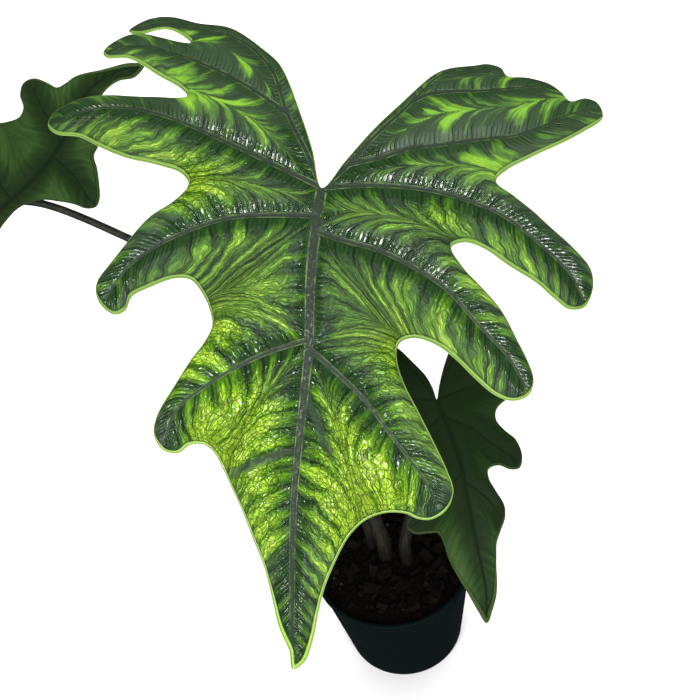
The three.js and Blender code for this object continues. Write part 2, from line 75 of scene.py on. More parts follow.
# Each leaf is drawn flat, in millimetres, and then bent into place.
# x runs to the leaf's right and y towards its rear lobes. The petiole joins at (0, 0), and the tip is at -y.
LEAVES = {
    "main": {
        # Tone patches: the leaf's own paler and darker areas, and painted light and shade. The lighter
        # patches at (-38, -103), (-11, -132) and (22, -118) paint sheen, and the darker ones at (-60, 75) and
        # (60, 58) paint shade on the rear lobes.
        "tone_and_painted_light_patches": [
            (-60, 75, 50, -0.2), (60, 58, 46, -0.1), (-38, -103, 24, 1.4), (-11, -132, 18, 0.8),
            (22, -118, 24, 1.2), (-57, -4, 18, 0.8), (-26, -50, 18, 0.3), (-104, 24, 16, 0.3),
            (72, -50, 16, 0.3), (52, -8, 14, 0.5), (-42, -72, 14, 0.7), (40, -72, 14, 0.7),
            (-30, -120, 12, 0.5), (36, -142, 14, 0.5), (-87, -46, 10, 0.5), (-13, -160, 13, 0.7),
            (23, -158, 13, 0.7), (-5, -190, 8, 0.4), (17, -190, 8, 0.4), (6, -226, 14, 0.5),
            (52, -130, 9, 1.4), (-66, -118, 11, -0.7), (74, -138, 12, -0.45), (-78, -32, 14, -0.3),
        ],
        "flames": [
            [(-1, -118), (-14, -123), (-29, -132), (-38, -143)],
            [(1, -92), (12, -112), (22, -128), (28, -140)],
        ],
        "seat": (2, 0, 353),
        "turn": -23, "roll": 16, "slope": 42,
        "arch": 0.0025, "rear_fold": 0.000044, "droop": 0.002,
        "pleat": 6.5, "wave": 1.0, "wave_length": 46,
        "rib_width": 3.4, "rib_height": 2.2,
        "vein_step": 9.0,
        "outline": [
            (0, 0), (-6, 17), (-13, 34), (-27, 62), (-37, 73), (-51, 84),
            (-70, 95), (-88, 104), (-102, 104), (-109, 96), (-101, 90), (-87, 89), (-72, 77),
            (-88, 82), (-106, 87), (-115, 83), (-118, 77), (-114, 70),
            (-101, 66), (-84, 55), (-71, 46), (-67, 41),
            (-72, 40), (-87, 42), (-107, 43), (-128, 40), (-137, 35), (-138, 28), (-131, 22), (-118, 20),
            (-107, 15), (-91, 9), (-76, 6), (-65, 3), (-61, -2),
            (-67, -11), (-77, -19), (-86, -29), (-95, -42), (-100, -52), (-98, -60), (-91, -65), (-86, -63),
            (-83, -56), (-74, -51), (-62, -46), (-55, -46), (-49, -52), (-45, -59), (-43, -66),
            (-46, -74), (-52, -83), (-60, -97), (-66, -110), (-67, -119), (-63, -126), (-56, -127),
            (-50, -122), (-43, -121), (-38, -124), (-34, -130),
            (-28, -143), (-20, -160), (-13, -176), (-9, -192), (-4, -211), (2, -229), (4, -242), (9, -236),
            (13, -220), (15, -201), (17, -186), (21, -172), (27, -158), (34, -149), (42, -145),
            (51, -145), (58, -148), (64, -148), (70, -143), (72, -133), (68, -123), (60, -109), (52, -96),
            (45, -85), (41, -76), (40, -69),
            (42, -65), (48, -63), (57, -65), (67, -71), (77, -79),
            (87, -86), (95, -88), (102, -85), (104, -78),
            (101, -70), (93, -58), (85, -47), (75, -37), (66, -29), (60, -21),
            (66, -18), (76, -20), (88, -26), (100, -32), (110, -39), (118, -43), (126, -41), (129, -33),
            (127, -24), (118, -15), (108, -7), (98, 0), (87, 6), (78, 12),
            (83, 19), (95, 28), (108, 37), (120, 48), (130, 60), (127, 68), (121, 69), (113, 65),
            (109, 71), (103, 75), (93, 74), (81, 71), (78, 77), (72, 79), (65, 76), (56, 71), (48, 65),
            (40, 56), (31, 44), (19, 27), (9, 13),
        ],
        "midrib": [(0, 0), (-1, -37), (1, -73), (0, -123), (0, -153), (2, -196), (4, -241)],
        "veins": [
            [(1, -68), (-16, -75), (-33, -85), (-46, -95), (-57, -106), (-62, -121)],
            [(0, -13), (-17, -14), (-40, -17), (-58, -24), (-74, -33), (-86, -43), (-95, -58)],
            [(0, 0), (-15, 6), (-37, 15), (-59, 24), (-78, 31), (-100, 36), (-133, 32)],
            [(0, 0), (-8, 15), (-19, 34), (-28, 55), (-35, 65), (-45, 75), (-69, 87), (-86, 95), (-106, 98)],
            [(-19, 34), (-28, 40), (-42, 49), (-64, 61), (-93, 75), (-113, 78)],
            [(0, -71), (11, -79), (28, -93), (43, -110), (56, -125), (66, -140)],
            [(0, -20), (13, -23), (29, -26), (47, -33), (61, -41), (76, -55), (92, -69), (101, -82)],
            [(0, 0), (19, 3), (44, 4), (62, 2), (81, -3), (99, -13), (117, -27), (125, -38)],
            [(0, 0), (11, 12), (22, 27), (32, 40), (40, 51), (46, 60), (55, 68), (72, 76)],
            [(11, 12), (26, 17), (39, 23), (51, 26), (67, 31), (86, 37), (98, 44), (110, 54), (125, 64)],
            [(36, 46), (43, 51), (55, 55), (70, 59), (84, 64), (103, 72)],
        ],
    },
    "right": {
        # Painted light and shade: the right leaf is lighter towards its tip, which reaches out of the large
        # leaf's shadow, and darker at its base, in that shadow.
        "tone_and_painted_light_patches": [(0, -112, 36, 1.1), (0, 0, 70, -0.35)],
        "seat": (42, 0, 211),
        "turn": 4, "roll": 0, "slope": 48,
        "arch": 0.003, "rear_fold": 0.00012, "droop": 0.003,
        "pleat": 3.6, "wave": 1.0, "wave_length": 30,
        "rib_width": 2.4, "rib_height": 1.6,
        "vein_step": 6.5,
        "outline": [
            (0, 0), (-1, 7), (-3, 15), (-9, 26), (-15, 35), (-22, 42), (-30, 45), (-34, 41), (-32, 35),
            (-27, 29), (-25, 25), (-31, 22), (-38, 19), (-43, 14), (-43, 7), (-38, 2), (-31, -2), (-27, -8),
            (-30, -17), (-36, -27), (-40, -38), (-38, -45), (-32, -46), (-25, -43), (-19, -45), (-18, -51),
            (-23, -57), (-30, -61), (-33, -66), (-30, -71), (-23, -72), (-17, -73), (-15, -80),
            (-14, -91), (-11, -103), (-8, -113), (-4, -127), (0, -138), (4, -132),
            (10, -112), (12, -100), (14, -88), (18, -82), (22, -76),
            (23, -68), (20, -58), (18, -50), (19, -45),
            (25, -44), (31, -48), (37, -49), (40, -43), (38, -33), (33, -26), (30, -19), (32, -13), (39, -9),
            (48, -7), (55, -3), (57, 5), (51, 11), (41, 14), (34, 18), (36, 25), (41, 33), (40, 41), (32, 43),
            (23, 37), (14, 25), (8, 16), (4, 8),
        ],
        "midrib": [(0, 0), (2, -15), (4, -36), (3, -71), (3, -96), (3, -112), (0, -137)],
        "veins": [
            [(3, -44), (-9, -51), (-20, -59), (-30, -66)],
            [(1, -9), (-12, -16), (-25, -28), (-37, -42)],
            [(0, 0), (-14, 4), (-27, 9), (-40, 11)],
            [(0, 0), (-4, 9), (-12, 24), (-21, 35), (-31, 41)],
            [(4, -48), (10, -55), (16, -64), (20, -74)],
            [(2, -11), (13, -18), (24, -31), (37, -45)],
            [(0, 0), (15, 2), (33, 3), (53, 3)],
            [(0, 0), (6, 10), (15, 20), (26, 31), (37, 39)],
        ],
    },
    "left": {
        "tone_and_painted_light_patches": [(0, -40, 500, 0.65), (15, -50, 40, -0.4)],
        "seat": (-208, 133, 306),
        "turn": 122, "roll": -42, "slope": -19,
        "arch": 0.0008, "rear_fold": 0, "droop": 0.0008,
        "pleat": 3.6, "wave": 1.0, "wave_length": 34,
        "rib_width": 2.6, "rib_height": 1.6,
        "vein_step": 6.5,
        "outline": [
            (0, 0), (-4, 15), (-10, 32), (-18, 47), (-26, 55), (-33, 53), (-34, 45), (-31, 37),
            (-38, 39), (-46, 37), (-48, 31), (-40, 23), (-30, 14), (-20, 4), (-12, -4),
            (-10, -8), (-9, -16), (-9, -24), (-11, -32), (-15, -39),
            (-23, -45), (-31, -50), (-37, -53), (-40, -58),
            (-38, -63), (-32, -69), (-23, -76), (-15, -81), (-12, -88), (-6, -97), (4, -105), (11, -113),
            (11, -128), (7, -138), (9, -149), (14, -144), (20, -135),
            (26, -123), (31, -110), (32, -103), (34, -97),
            (40, -95), (47, -91), (49, -84), (45, -77), (38, -73), (34, -66), (36, -59),
            (43, -51), (54, -45), (62, -36), (62, -26), (54, -19), (43, -15), (38, -8),
            (45, 0), (55, 7), (61, 16), (57, 25), (46, 27), (37, 28), (37, 36), (38, 45), (31, 51), (20, 45),
            (11, 31), (5, 15),
        ],
        "midrib": [
            (0, 0), (-2, -20), (-2, -40), (1, -62), (6, -78), (14, -95), (19, -112), (17, -130), (9, -147),
        ],
        "veins": [
            [(1, -62), (-10, -63), (-20, -62), (-35, -58)],
            [(-1, -13), (-9, -1), (-24, 14), (-42, 33)],
            [(0, 0), (-5, 15), (-14, 34), (-26, 50)],
            [(4, -72), (14, -76), (28, -80), (44, -86)],
            [(-2, -25), (14, -28), (34, -31), (57, -32)],
            [(0, 0), (15, 2), (34, 10), (55, 19)],
            [(0, 0), (7, 13), (16, 29), (29, 45)],
        ],
    },
}


# Each petiole rises from its foot in the soil, through its points, to its blade.
STALKS = {
    "main": {
        "foot": (-4, 2),
        "through": [(-7, 6, 120), (-11, 13, 200), (-6, 14, 280), (0, 8, 330)],
        "foot_radius": 5.2, "neck_radius": 3.2, "sheath": 70,
    },
    "right": {
        "foot": (9, -5),
        "through": [(13, -4, 110), (24, 2, 150), (36, 8, 190)],
        "foot_radius": 4.4, "neck_radius": 2.3, "sheath": 50,
    },
    "left": {
        "foot": (-11, 14),
        "through": [
            (-15, 20, 120), (-35, 50, 190), (-75, 100, 250),
            (-128, 140, 275), (-180, 160, 301), (-201, 156, 306),
        ],
        "foot_radius": 4.6, "neck_radius": 2.5, "sheath": 60,
    },
}

# The pot and the soil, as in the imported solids
LIP_WIDTH = 1.0
LIP_HEIGHT = 3.5
LIP_ROUNDING = 0.6
BASE_CHAMFER = 1.2
DRAIN_COUNT = 5
DRAIN_RADIUS = 4.5
DRAIN_CIRCLE = 25.0
DRAIN_SIDES = 40
BASE_HOLLOW = 0.6
CORNER_ROUNDING = 1.2
ROUNDING_LIMIT = 0.45
SHARP_ANGLE = 40
GAP = 0.3
SOIL_DEPTH = 5.0
SOIL_MOUND = 4.0
SOIL_LUMP = 0.6
SOIL_EDGE = 0.4
LEVEL_TOLERANCE = 0.01
SOIL_GRAIN = 0.9
GRAIN_SCALE = 0.22
SOIL_RINGS = 44
CHIP_COUNT = 44
CHIP_WIDTH_SHARE = 0.62
CHIP_THICKNESS_SHARE = 0.4
CHIP_TILT = 1.1
CHIP_ROOM_SHARE = 0.75
LEAST_CHIP = 0.5
CHIP_LIFT_SHARE = 0.05
LOWEST_GRAIN = 2.0
GRAIN_ROOM = 3.0
GRAIN_TILT = 0.6
FULL_TURN = 6.3
GRAIN_ROUGHNESS = 0.7
GRAIN_FACETS = 0.6
CHIP_ROUGHNESS = 0.35
CHIP_FACETS = 170.0
SMALL_CHIP_SHARE = 0.12
PALE_GRIT_COUNT = 0.35
GOLDEN_ANGLE = 2.4
STEM_HOLE_DEPTH = 34.0
STEM_RISE = 14.0
JOIN_SHARE = 1.6


# Sizes and colours that a user would change
def rgb(red, green, blue):
    """A display colour of 0 to 255 as the linear colour that a shader takes."""
    linear = [((c / 255 + 0.055) / 1.055) ** 2.4 if c > 10 else c / 255 / 12.92 for c in (red, green, blue)]
    return (*linear, 1.0)


def size(name, default, description):
    return FloatProperty(
        name=name, description=description, default=default, min=0, unit="LENGTH", precision=5)


def share(name, default, description):
    return FloatProperty(name=name, description=description, default=default, min=0, max=1, subtype="FACTOR")


def strength(name, default, description):
    return FloatProperty(name=name, description=description, default=default, min=0, unit="NONE")


def number(name, default, least, description):
    return IntProperty(name=name, description=description, default=default, min=least)


def colour(name, default, description):
    return FloatVectorProperty(
        name=name, description=description, default=rgb(*default), size=4, min=0, max=1, subtype="COLOR")


class AlocasiaBlades(bpy.types.PropertyGroup):
    grain: size("Grain", 0.00085, "Distance between neighbouring points of a blade's upper face")
    pucker: size("Pucker height", 0.0004, "How far the blade swells between two side veins")
    ridge: size("Vein ridge", 0.00018, "How far the main veins stand up from the upper face")
    cell: size("Cell height", 0.0007, "Height of the ribs by the main veins and of the cells")
    gloss: share("Roughness", 0.15, "Roughness of the upper faces")
    small_gloss: share("Small leaf roughness", 0.5, "Roughness of the upper faces of the small leaves")
    small_pattern: share("Small leaf pattern", 0.28, "How strong the pattern of the small leaves is")
    bright: colour("Bright lime", (156, 195, 49), "The palest patches of the large leaf")
    lime: colour("Lime", (102, 150, 19), "The pale ground of the large leaf")
    green: colour("Green", (63, 102, 19), "The common ground of the large leaf")
    band: colour("Vein band", (31, 56, 24), "The dark flames and the bands along the veins of the large leaf")
    line: colour("Fine vein", (18, 40, 22), "The finest veins of the large leaf")
    core: colour("Main vein", (18, 35, 19), "The main veins of the large leaf")
    margin: colour("Margin", (146, 184, 76), "The rolled margin of the large leaf")
    under: colour("Underside", (111, 131, 81), "The lower face of the large leaf")
    under_vein: colour("Underside vein", (74, 81, 54), "The veins below the large leaf")
    # The small leaves' colours are partly their own darker green and partly painted shade, dark enough for
    # the right leaf in the large leaf's shadow.
    shade_bright: colour("Dark ground, palest", (60, 82, 36), "The palest patches of the small leaves")
    shade_lime: colour("Dark ground, paler", (43, 65, 29), "The pale ground of the small leaves")
    shade_green: colour("Dark ground", (27, 45, 18), "The common ground of the small leaves")
    shade_band: colour("Dark vein band", (18, 33, 13), "The bands along the veins of the small leaves")
    shade_line: colour("Dark fine vein", (15, 27, 11), "The finest veins of the small leaves")
    shade_core: colour("Dark main vein", (15, 25, 13), "The main veins of the small leaves")
    shade_margin: colour("Dark margin", (49, 65, 29), "The margin of the small leaves")
    shade_under: colour("Dark underside", (74, 92, 58), "The lower face of the small leaves")
    shade_under_vein: colour("Dark underside vein", (51, 58, 40), "The veins below the small leaves")


class AlocasiaStalks(bpy.types.PropertyGroup):
    sides: number("Sides", 28, 8, "Faces around a petiole")
    groove: share("Groove", 0.16, "Depth of the groove in the sheath, as a share of the petiole's radius")
    hair: size("Hair length", 0.0006, "Length of the hairs on petioles and margins")
    hair_count: number("Hairs", 60, 0, "Hairs on a square centimetre")
    sheath: colour("Sheath", (15, 13, 8), "The foot of a petiole")
    sheath_dark: colour("Foot", (5, 4, 3), "The lowest end of a petiole")
    sheath_pale: colour("Pale streak", (36, 33, 21), "The streaks in the foot of a petiole")
    stalk: colour("Stalk", (20, 20, 15), "A petiole above its sheath")
    stalk_pale: colour("Stalk, paler", (42, 42, 33), "The mottle of a petiole above its sheath")


class AlocasiaPot(bpy.types.PropertyGroup):
    height: size("Height", round(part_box("pot")[1][2], 5), "Height of the pot")
    top_radius: size("Rim radius", round(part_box("pot")[1][0], 5), "Radius of the pot at its rim")
    base_radius: size("Base radius", 0.040, "Radius of the pot at its foot")
    wall: size("Wall", 0.0016, "Thickness of the pot's wall")
    floor: size("Floor", 0.0022, "Thickness of the pot's floor")
    sides: number("Sides", 144, 24, "Faces around the pot")
    plastic: colour("Plastic", (2, 13, 13), "The pot's dark slate plastic")
    worn: colour("Dust", (7, 16, 16), "Dust and wear on the pot")


class AlocasiaSoil(bpy.types.PropertyGroup):
    chip: size("Chip length", 0.011, "Length of the largest bark chips")
    crumb: size("Crumb size", 0.0016, "Width of the crumbs between the chips")
    crumb_count: number("Crumbs", 26, 0, "Crumbs on a square centimetre")
    # The peat and bark colours are partly the mix's own dark colour and partly painted shade from the leaves
    # above.
    dark: colour("Peat", (5, 4, 2), "The soil between the chips")
    bark: colour("Bark", (8, 5, 3), "The bark chips")
    bark_pale: colour("Pale bark", (16, 10, 6), "Worn faces of the bark chips")
    grit: colour("Grit", (52, 47, 40), "The pale grit")


class AlocasiaStage(bpy.types.PropertyGroup):
    key: strength("Front lights", 0.95, "Strength of each front light")
    soft: strength("Soft front light", 1.1, "Strength of the soft front light")
    top: strength("Overhead light", 2.2, "Strength of the overhead light")
    fill: share("Fill", 0.46, "Brightness of the light from all round")
    floor: colour("Floor", (250, 250, 250), "The plain floor")


class AlocasiaSettings(bpy.types.PropertyGroup):
    blades: PointerProperty(type=AlocasiaBlades, name="Leaf blades", description="The three leaf blades")
    stalks: PointerProperty(type=AlocasiaStalks, name="Petioles", description="The three petioles")
    pot: PointerProperty(type=AlocasiaPot, name="Pot", description="The nursery pot")
    soil: PointerProperty(type=AlocasiaSoil, name="Soil", description="The bark mix in the pot")
    stage: PointerProperty(type=AlocasiaStage, name="Stage", description="The floor and the lights")


# Trees of nodes
class Value:
    """What a socket gives. It takes part in sums as a number does."""

    def __init__(self, work, socket):
        self.work = work
        self.socket = socket

    def other(self, name):
        """What another socket of the same node gives."""
        return Value(self.work, self.socket.node.outputs[name])

    def __add__(self, other):
        return self.work.math("ADD", self, other)

    def __sub__(self, other):
        return self.work.math("SUBTRACT", self, other)

    def __rsub__(self, other):
        return self.work.math("SUBTRACT", other, self)

    def __mul__(self, other):
        return self.work.math("MULTIPLY", self, other)

    def __truediv__(self, other):
        return self.work.math("DIVIDE", self, other)

    def __pow__(self, power):
        return self.work.math("POWER", self, power)


class NodeWork:
    """A node tree under construction: short calls that add nodes and join them."""

    def __init__(self, tree):
        self.tree = tree

    def put(self, socket, value):
        if isinstance(value, Value):
            self.tree.links.new(value.socket, socket)
        elif value is not None:
            socket.default_value = value

    def node(self, kind, inputs=(), out=0, **settings):
        made = self.tree.nodes.new(kind)
        for key, value in settings.items():
            setattr(made, key, value)
        for key, value in inputs.items() if isinstance(inputs, dict) else enumerate(inputs):
            self.put(made.inputs[key], value)
        return Value(self, made.outputs[out])

    def math(self, operation, *values, clamp=False):
        return self.node("ShaderNodeMath", values, operation=operation, use_clamp=clamp)

    def highest(self, value, *others):
        for other in others:
            value = self.math("MAXIMUM", value, other)
        return value

    def vector(self, operation, *values, out=0):
        return self.node("ShaderNodeVectorMath", values, out, operation=operation)

    def scaled(self, vector, factor):
        return self.vector("SCALE", vector, None, None, factor)

    def split(self, vector):
        parts = self.node("ShaderNodeSeparateXYZ", (vector,))
        return [parts.other(name) for name in "XYZ"]


class Finish(NodeWork):
    """A material under construction."""

    def __init__(self, name):
        self.material = bpy.data.materials.new(name)
        self.material.use_nodes = True
        super().__init__(self.material.node_tree)
        self.shader = self.tree.nodes["Principled BSDF"]

    def ramp(self, value, low, high, to_low=0.0, to_high=1.0):
        """to_low below low, to_high above high, and smooth between."""
        inputs = (value, low, high, to_low, to_high)
        return self.node("ShaderNodeMapRange", inputs, interpolation_type="SMOOTHSTEP")

    def fade(self, value, low, high):
        """1 below low, 0 above high, and smooth between."""
        return self.ramp(value, low, high, 1.0, 0.0)

    def swing(self, value, reach):
        """A value of 0 to 1, made to swing from -reach to reach."""
        return self.math("MULTIPLY_ADD", value, 2 * reach, -reach)

    def apart(self, value):
        """0 on each whole number, and 1 halfway between two."""
        return self.math("PINGPONG", value, 0.5) * 2.0

    def mix(self, factor, a, b):
        return self.node("ShaderNodeMix", {0: factor, 6: a, 7: b}, 2, data_type="RGBA")

    def noise(self, vector, scale, detail=2.0, roughness=0.5):
        inputs = {"Vector": vector, "Scale": scale, "Detail": detail, "Roughness": roughness}
        return self.node("ShaderNodeTexNoise", inputs, "Fac")

    def cells(self, vector, scale):
        """0 on the borders of a net of cells, growing towards the middle of each."""
        inputs = {"Vector": vector, "Scale": scale}
        return self.node("ShaderNodeTexVoronoi", inputs, "Distance", feature="DISTANCE_TO_EDGE")

    def join(self, x, y):
        return self.node("ShaderNodeCombineXYZ", (x, y, 0.0))

    def map(self, name):
        return self.node("ShaderNodeUVMap", uv_map=name)

    def attribute(self, name):
        return self.node("ShaderNodeAttribute", out="Fac", attribute_name=name)

    def place(self):
        return self.node("ShaderNodeTexCoord", out="Object")

    def bump(self, height, distance, strength):
        return self.node("ShaderNodeBump", {"Strength": strength, "Distance": distance, "Height": height})

    def set(self, **values):
        for key, value in values.items():
            self.put(self.shader.inputs[key.replace("_", " ")], value)
        return self.material


class Growth(NodeWork):
    """A Geometry Nodes tree under construction, with named inputs."""

    def __init__(self, name):
        super().__init__(bpy.data.node_groups.new(name, "GeometryNodeTree"))
        self.start = self.tree.nodes.new("NodeGroupInput")
        self.given = {}
        self.source = self.input("Geometry", "NodeSocketGeometry")

    def input(self, name, kind, value=None):
        socket = self.tree.interface.new_socket(name, in_out="INPUT", socket_type=kind)
        if value is not None:
            self.given[socket.identifier] = value
        return Value(self, self.start.outputs[name])

    def number(self, name, value):
        return self.input(name, "NodeSocketFloat", value)

    def direction(self, name, value):
        return self.input(name, "NodeSocketVector", tuple(value))

    def named(self, name, kind="FLOAT"):
        return self.node("GeometryNodeInputNamedAttribute", {"Name": name}, data_type=kind)

    def stored(self, geometry, name, value):
        inputs = {"Geometry": geometry, "Name": name, "Value": value}
        return self.node("GeometryNodeStoreNamedAttribute", inputs)

    def position(self):
        return self.node("GeometryNodeInputPosition")

    def moved(self, geometry, offset):
        return self.node("GeometryNodeSetPosition", {"Geometry": geometry, "Offset": offset})

    def real(self, geometry):
        return self.node("GeometryNodeRealizeInstances", (geometry,))

    def smoothed(self, geometry):
        return self.node("GeometryNodeSetShadeSmooth", (geometry,))

    def circle(self, count, radius):
        return self.node("GeometryNodeCurvePrimitiveCircle", {"Resolution": count, "Radius": radius})

    def scattered(self, mesh, density, seed):
        inputs = {"Mesh": mesh, "Density": density, "Seed": seed}
        return self.node("GeometryNodeDistributePointsOnFaces", inputs)

    def instances(self, points, instance, rotation=None, scale=None):
        inputs = {"Points": points, "Instance": instance, "Rotation": rotation, "Scale": scale}
        return self.node("GeometryNodeInstanceOnPoints", inputs)

    def rotation(self, turns):
        return self.node("FunctionNodeEulerToRotation", (turns,))

    def random(self, low, high, seed):
        """A random number or vector between low and high."""
        if isinstance(low, tuple):
            inputs = {0: low, 1: high, "Seed": seed}
            return self.node("FunctionNodeRandomValue", inputs, data_type="FLOAT_VECTOR")
        return self.node("FunctionNodeRandomValue", {2: low, 3: high, "Seed": seed}, 1, data_type="FLOAT")

    def bell(self, value):
        """1 where value is 0, and less on either side, down to 0."""
        return self.math("EXPONENT", value**2.0 * -1.0)

    def dot(self, a, b):
        return self.vector("DOT_PRODUCT", a, b, out="Value")

    def joined(self, geometry, other):
        result = self.node("GeometryNodeJoinGeometry", (geometry,))
        self.put(result.socket.node.inputs[0], other)
        return result

    def made_from(self, geometry, material, mesh):
        """Ends the tree, runs it on mesh, and returns the plain mesh that it makes."""
        geometry = self.real(geometry)
        geometry = self.node("GeometryNodeSetMaterial", {"Geometry": geometry, "Material": material})
        self.tree.interface.new_socket("Geometry", in_out="OUTPUT", socket_type="NodeSocketGeometry")
        self.put(self.tree.nodes.new("NodeGroupOutput").inputs[0], geometry)
        source = placed(self.tree.name, mesh)
        modifier = source.modifiers.new(self.tree.name, "NODES")
        modifier.node_group = self.tree
        for identifier, value in self.given.items():
            modifier[identifier] = value
        depsgraph = bpy.context.evaluated_depsgraph_get()
        grown = source.evaluated_get(depsgraph)
        result = bpy.data.meshes.new_from_object(grown, preserve_all_data_layers=True, depsgraph=depsgraph)
        source.modifiers.clear()
        bpy.data.objects.remove(source)
        if result.materials[0] is None:
            result.materials.pop(index=0)
        return result


def placed(name, data):
    """A new object in the scene."""
    made = bpy.data.objects.new(name, data)
    bpy.context.scene.collection.objects.link(made)
    return made


def points_mesh(name, points, **values):
    """A mesh of loose points, in metres, with a named value for each of them."""
    mesh = bpy.data.meshes.new(name)
    mesh.from_pydata([tuple(p) for p in points], [], [])
    for key, value in values.items():
        value = np.asarray(value, np.float32)
        kind, field = ("FLOAT", "value") if value.ndim == 1 else ("FLOAT_VECTOR", "vector")
        mesh.attributes.new(key, kind, "POINT").data.foreach_set(field, value.ravel())
    return mesh


def add_piece(mesh, name, slot, *nodes):
    """Puts a finished mesh in the scene as a piece of the plant that stands for its nodes."""
    piece = placed(name, mesh)
    mesh.name = name
    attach(piece, BODY)
    if nodes:
        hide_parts(*nodes)


# Flat drawing
def curve_through(points, step, closed=False):
    """Points about every step along the centripetal curve through points."""
    p = np.array(points, float)
    if closed:
        ring = np.vstack([p[-1:], p, p[:2]])
    else:
        ring = np.vstack([2 * p[:1] - p[1:2], p, 2 * p[-1:] - p[-2:-1]])
    t = np.linspace(0, 1, CURVE_STEPS, endpoint=False)[:, None]
    dense = []
    for a, b, c, d in zip(ring, ring[1:], ring[2:], ring[3:]):
        first, middle, last = (math.sqrt(np.linalg.norm(v)) for v in (b - a, c - b, d - c))
        start = ((b - a) / first - (c - a) / (first + middle) + (c - b) / middle) * middle
        end = ((c - b) / middle - (d - b) / (middle + last) + (d - c) / last) * middle
        dense.append(
            (2 * t**3 - 3 * t**2 + 1) * b + (t**3 - 2 * t**2 + t) * start
            + (3 * t**2 - 2 * t**3) * c + (t**3 - t**2) * end
        )
    dense = np.vstack(dense + [ring[-2:-1]])
    walked = np.concatenate([[0], np.cumsum(np.linalg.norm(np.diff(dense, axis=0), axis=1))])
    count = max(2, round(walked[-1] / step))
    at = np.linspace(0, walked[-1], count + 1)
    out = np.stack([np.interp(at, walked, dense[:, k]) for k in range(dense.shape[1])], 1)
    return out[:-1] if closed else out


def outward_of(ring, turned):
    """At each point of a closed ring, the direction that leads out of it."""
    run = np.roll(ring, -1, axis=0) - np.roll(ring, 1, axis=0)
    run /= np.linalg.norm(run, axis=1)[:, None]
    return np.stack([run[:, 1], -run[:, 0]], 1) * turned


def smooth(low, high, x):
    """0 below low, 1 above high, and smooth between."""
    t = np.clip((x - low) / (high - low), 0, 1)
    return t * t * (3 - 2 * t)


class Line:
    """A drawn line, which knows how places lie beside it."""

    def __init__(self, points):
        self.points = points
        self.walked = np.concatenate([[0], np.cumsum(np.linalg.norm(np.diff(points, axis=0), axis=1))])
        self.length = self.walked[-1]
        self.tree = KDTree(len(points))
        for i, (x, y) in enumerate(points.tolist()):
            self.tree.insert((x, y, 0), i)
        self.tree.balance()

    def beside(self, places):
        """How far each place is from the line, how far along it that is, and on which side of it."""
        rows = np.column_stack([places, np.zeros(len(places))]).tolist()
        nearest = np.array([self.tree.find(row)[1] for row in rows])
        last = len(self.points) - 2
        found = []
        for first in (np.clip(nearest - 1, 0, last), np.clip(nearest, 0, last)):
            run = self.points[first + 1] - self.points[first]
            off = places - self.points[first]
            t = np.clip((off * run).sum(1) / (run**2).sum(1), 0, 1)
            rest = off - t[:, None] * run
            along = self.walked[first] + t * np.linalg.norm(run, axis=1)
            cross = run[:, 0] * rest[:, 1] - run[:, 1] * rest[:, 0]
            found.append((np.linalg.norm(rest, axis=1), along, np.sign(cross)))
        closer = found[0][0] <= found[1][0]
        return [np.where(closer, a, b) for a, b in zip(*found)]


# The bend of a blade
def slope_at(leaf, y):
    """The blade's slope in radians where the flat drawing has y."""
    return math.radians(leaf["slope"]) - leaf["arch"] * y - leaf["rear_fold"] * np.maximum(0, y) ** 2


def turn_about(points, axis, angle):
    """Points turned about an axis through the origin."""
    return points @ np.array(Matrix.Rotation(angle, 3, Vector(axis)).transposed())


def blade_point(leaf, flat, lift):
    """Points of the flat drawing, raised by lift from the sheet, at their places in the world."""
    x, y = flat.T
    middles = (np.arange(WALK_STEPS) + 0.5) / WALK_STEPS
    slopes = slope_at(leaf, y[:, None] * middles)
    back = np.cos(slopes).mean(1) * y
    up = np.sin(slopes).mean(1) * y
    slope = slope_at(leaf, y)
    bend = x * leaf["droop"]
    across = np.sin(bend) / leaf["droop"] + lift * np.sin(bend)
    rise = (np.cos(bend) - 1) / leaf["droop"] + lift * np.cos(bend)
    points = np.stack([across, back - rise * np.sin(slope), up + rise * np.cos(slope)], 1)
    start = math.radians(leaf["slope"])
    points = turn_about(points, (0, math.cos(start), math.sin(start)), math.radians(leaf["roll"]))
    points = turn_about(points, (0, 0, 1), math.radians(leaf["turn"]))
    return points + np.array(leaf["seat"], float)


# Leaf blades, in millimetres, and in shares of a spacing, of a width or of a length
OUTLINE_SPACING = 1.0
VEIN_SPACING = 1.5
UNDER_GRAIN_SHARE = 2.3
LATTICE_JITTER = 0.12
ROW_SHARE = math.sqrt(0.75)
VEIN_POINT_SHARE = 0.8
VEIN_ROOM_SHARE = 0.55
MARGIN_ROOM_SHARE = 0.5
INSIDE_ONLY = 1
WELD_DISTANCE = 1e-4
LEAST_AREA = 1e-6
UPPER_SEED = 5
LOWER_SEED = 6
EDGE_BULGE = 0.3
EDGE_DISTANCE = 50.0
BRANCH_REACH = 3.0
BRANCH_LOOK = 12.0
BEYOND_TIP = 18.0
SIDE_LEAN = 0.08
SIDE_PULL = 0.26
SIDE_PULL_START = 0.25
MARGIN_PULL = 0.15
PULL_SOFTNESS = 0.5
MARGIN_PULL_LIMIT = 0.08
SIDE_PULL_LIMIT = 0.04
TIP_LEAN = 1.0
TIP_LEAN_REACH = (0.45, 0.9)
RIPPLES_PER_STEP = 4.0
PUCKER_POWER = 2.2
PUCKER_START = (1, 7)
CALM_BY_MARGIN = (0.5, 5)
CALM_BY_SEAM = (0, 4)
RIDGE_SHARE = 0.5
RIDGE_BY_MARGIN = (0, 3)
CELL_RANKS = 17
SIDE_RANKS = 7
CORE_SHARE = 0.7
RIM_WIDTH = 0.35
RIM_TIPWARD = 1.15
TIPWARD_RANGE = (-0.1, 0.7)
RIM_TIP = 1.5
TIP_RANGE = (0.65, 0.95)
FLAME_WIDTH = 2.2
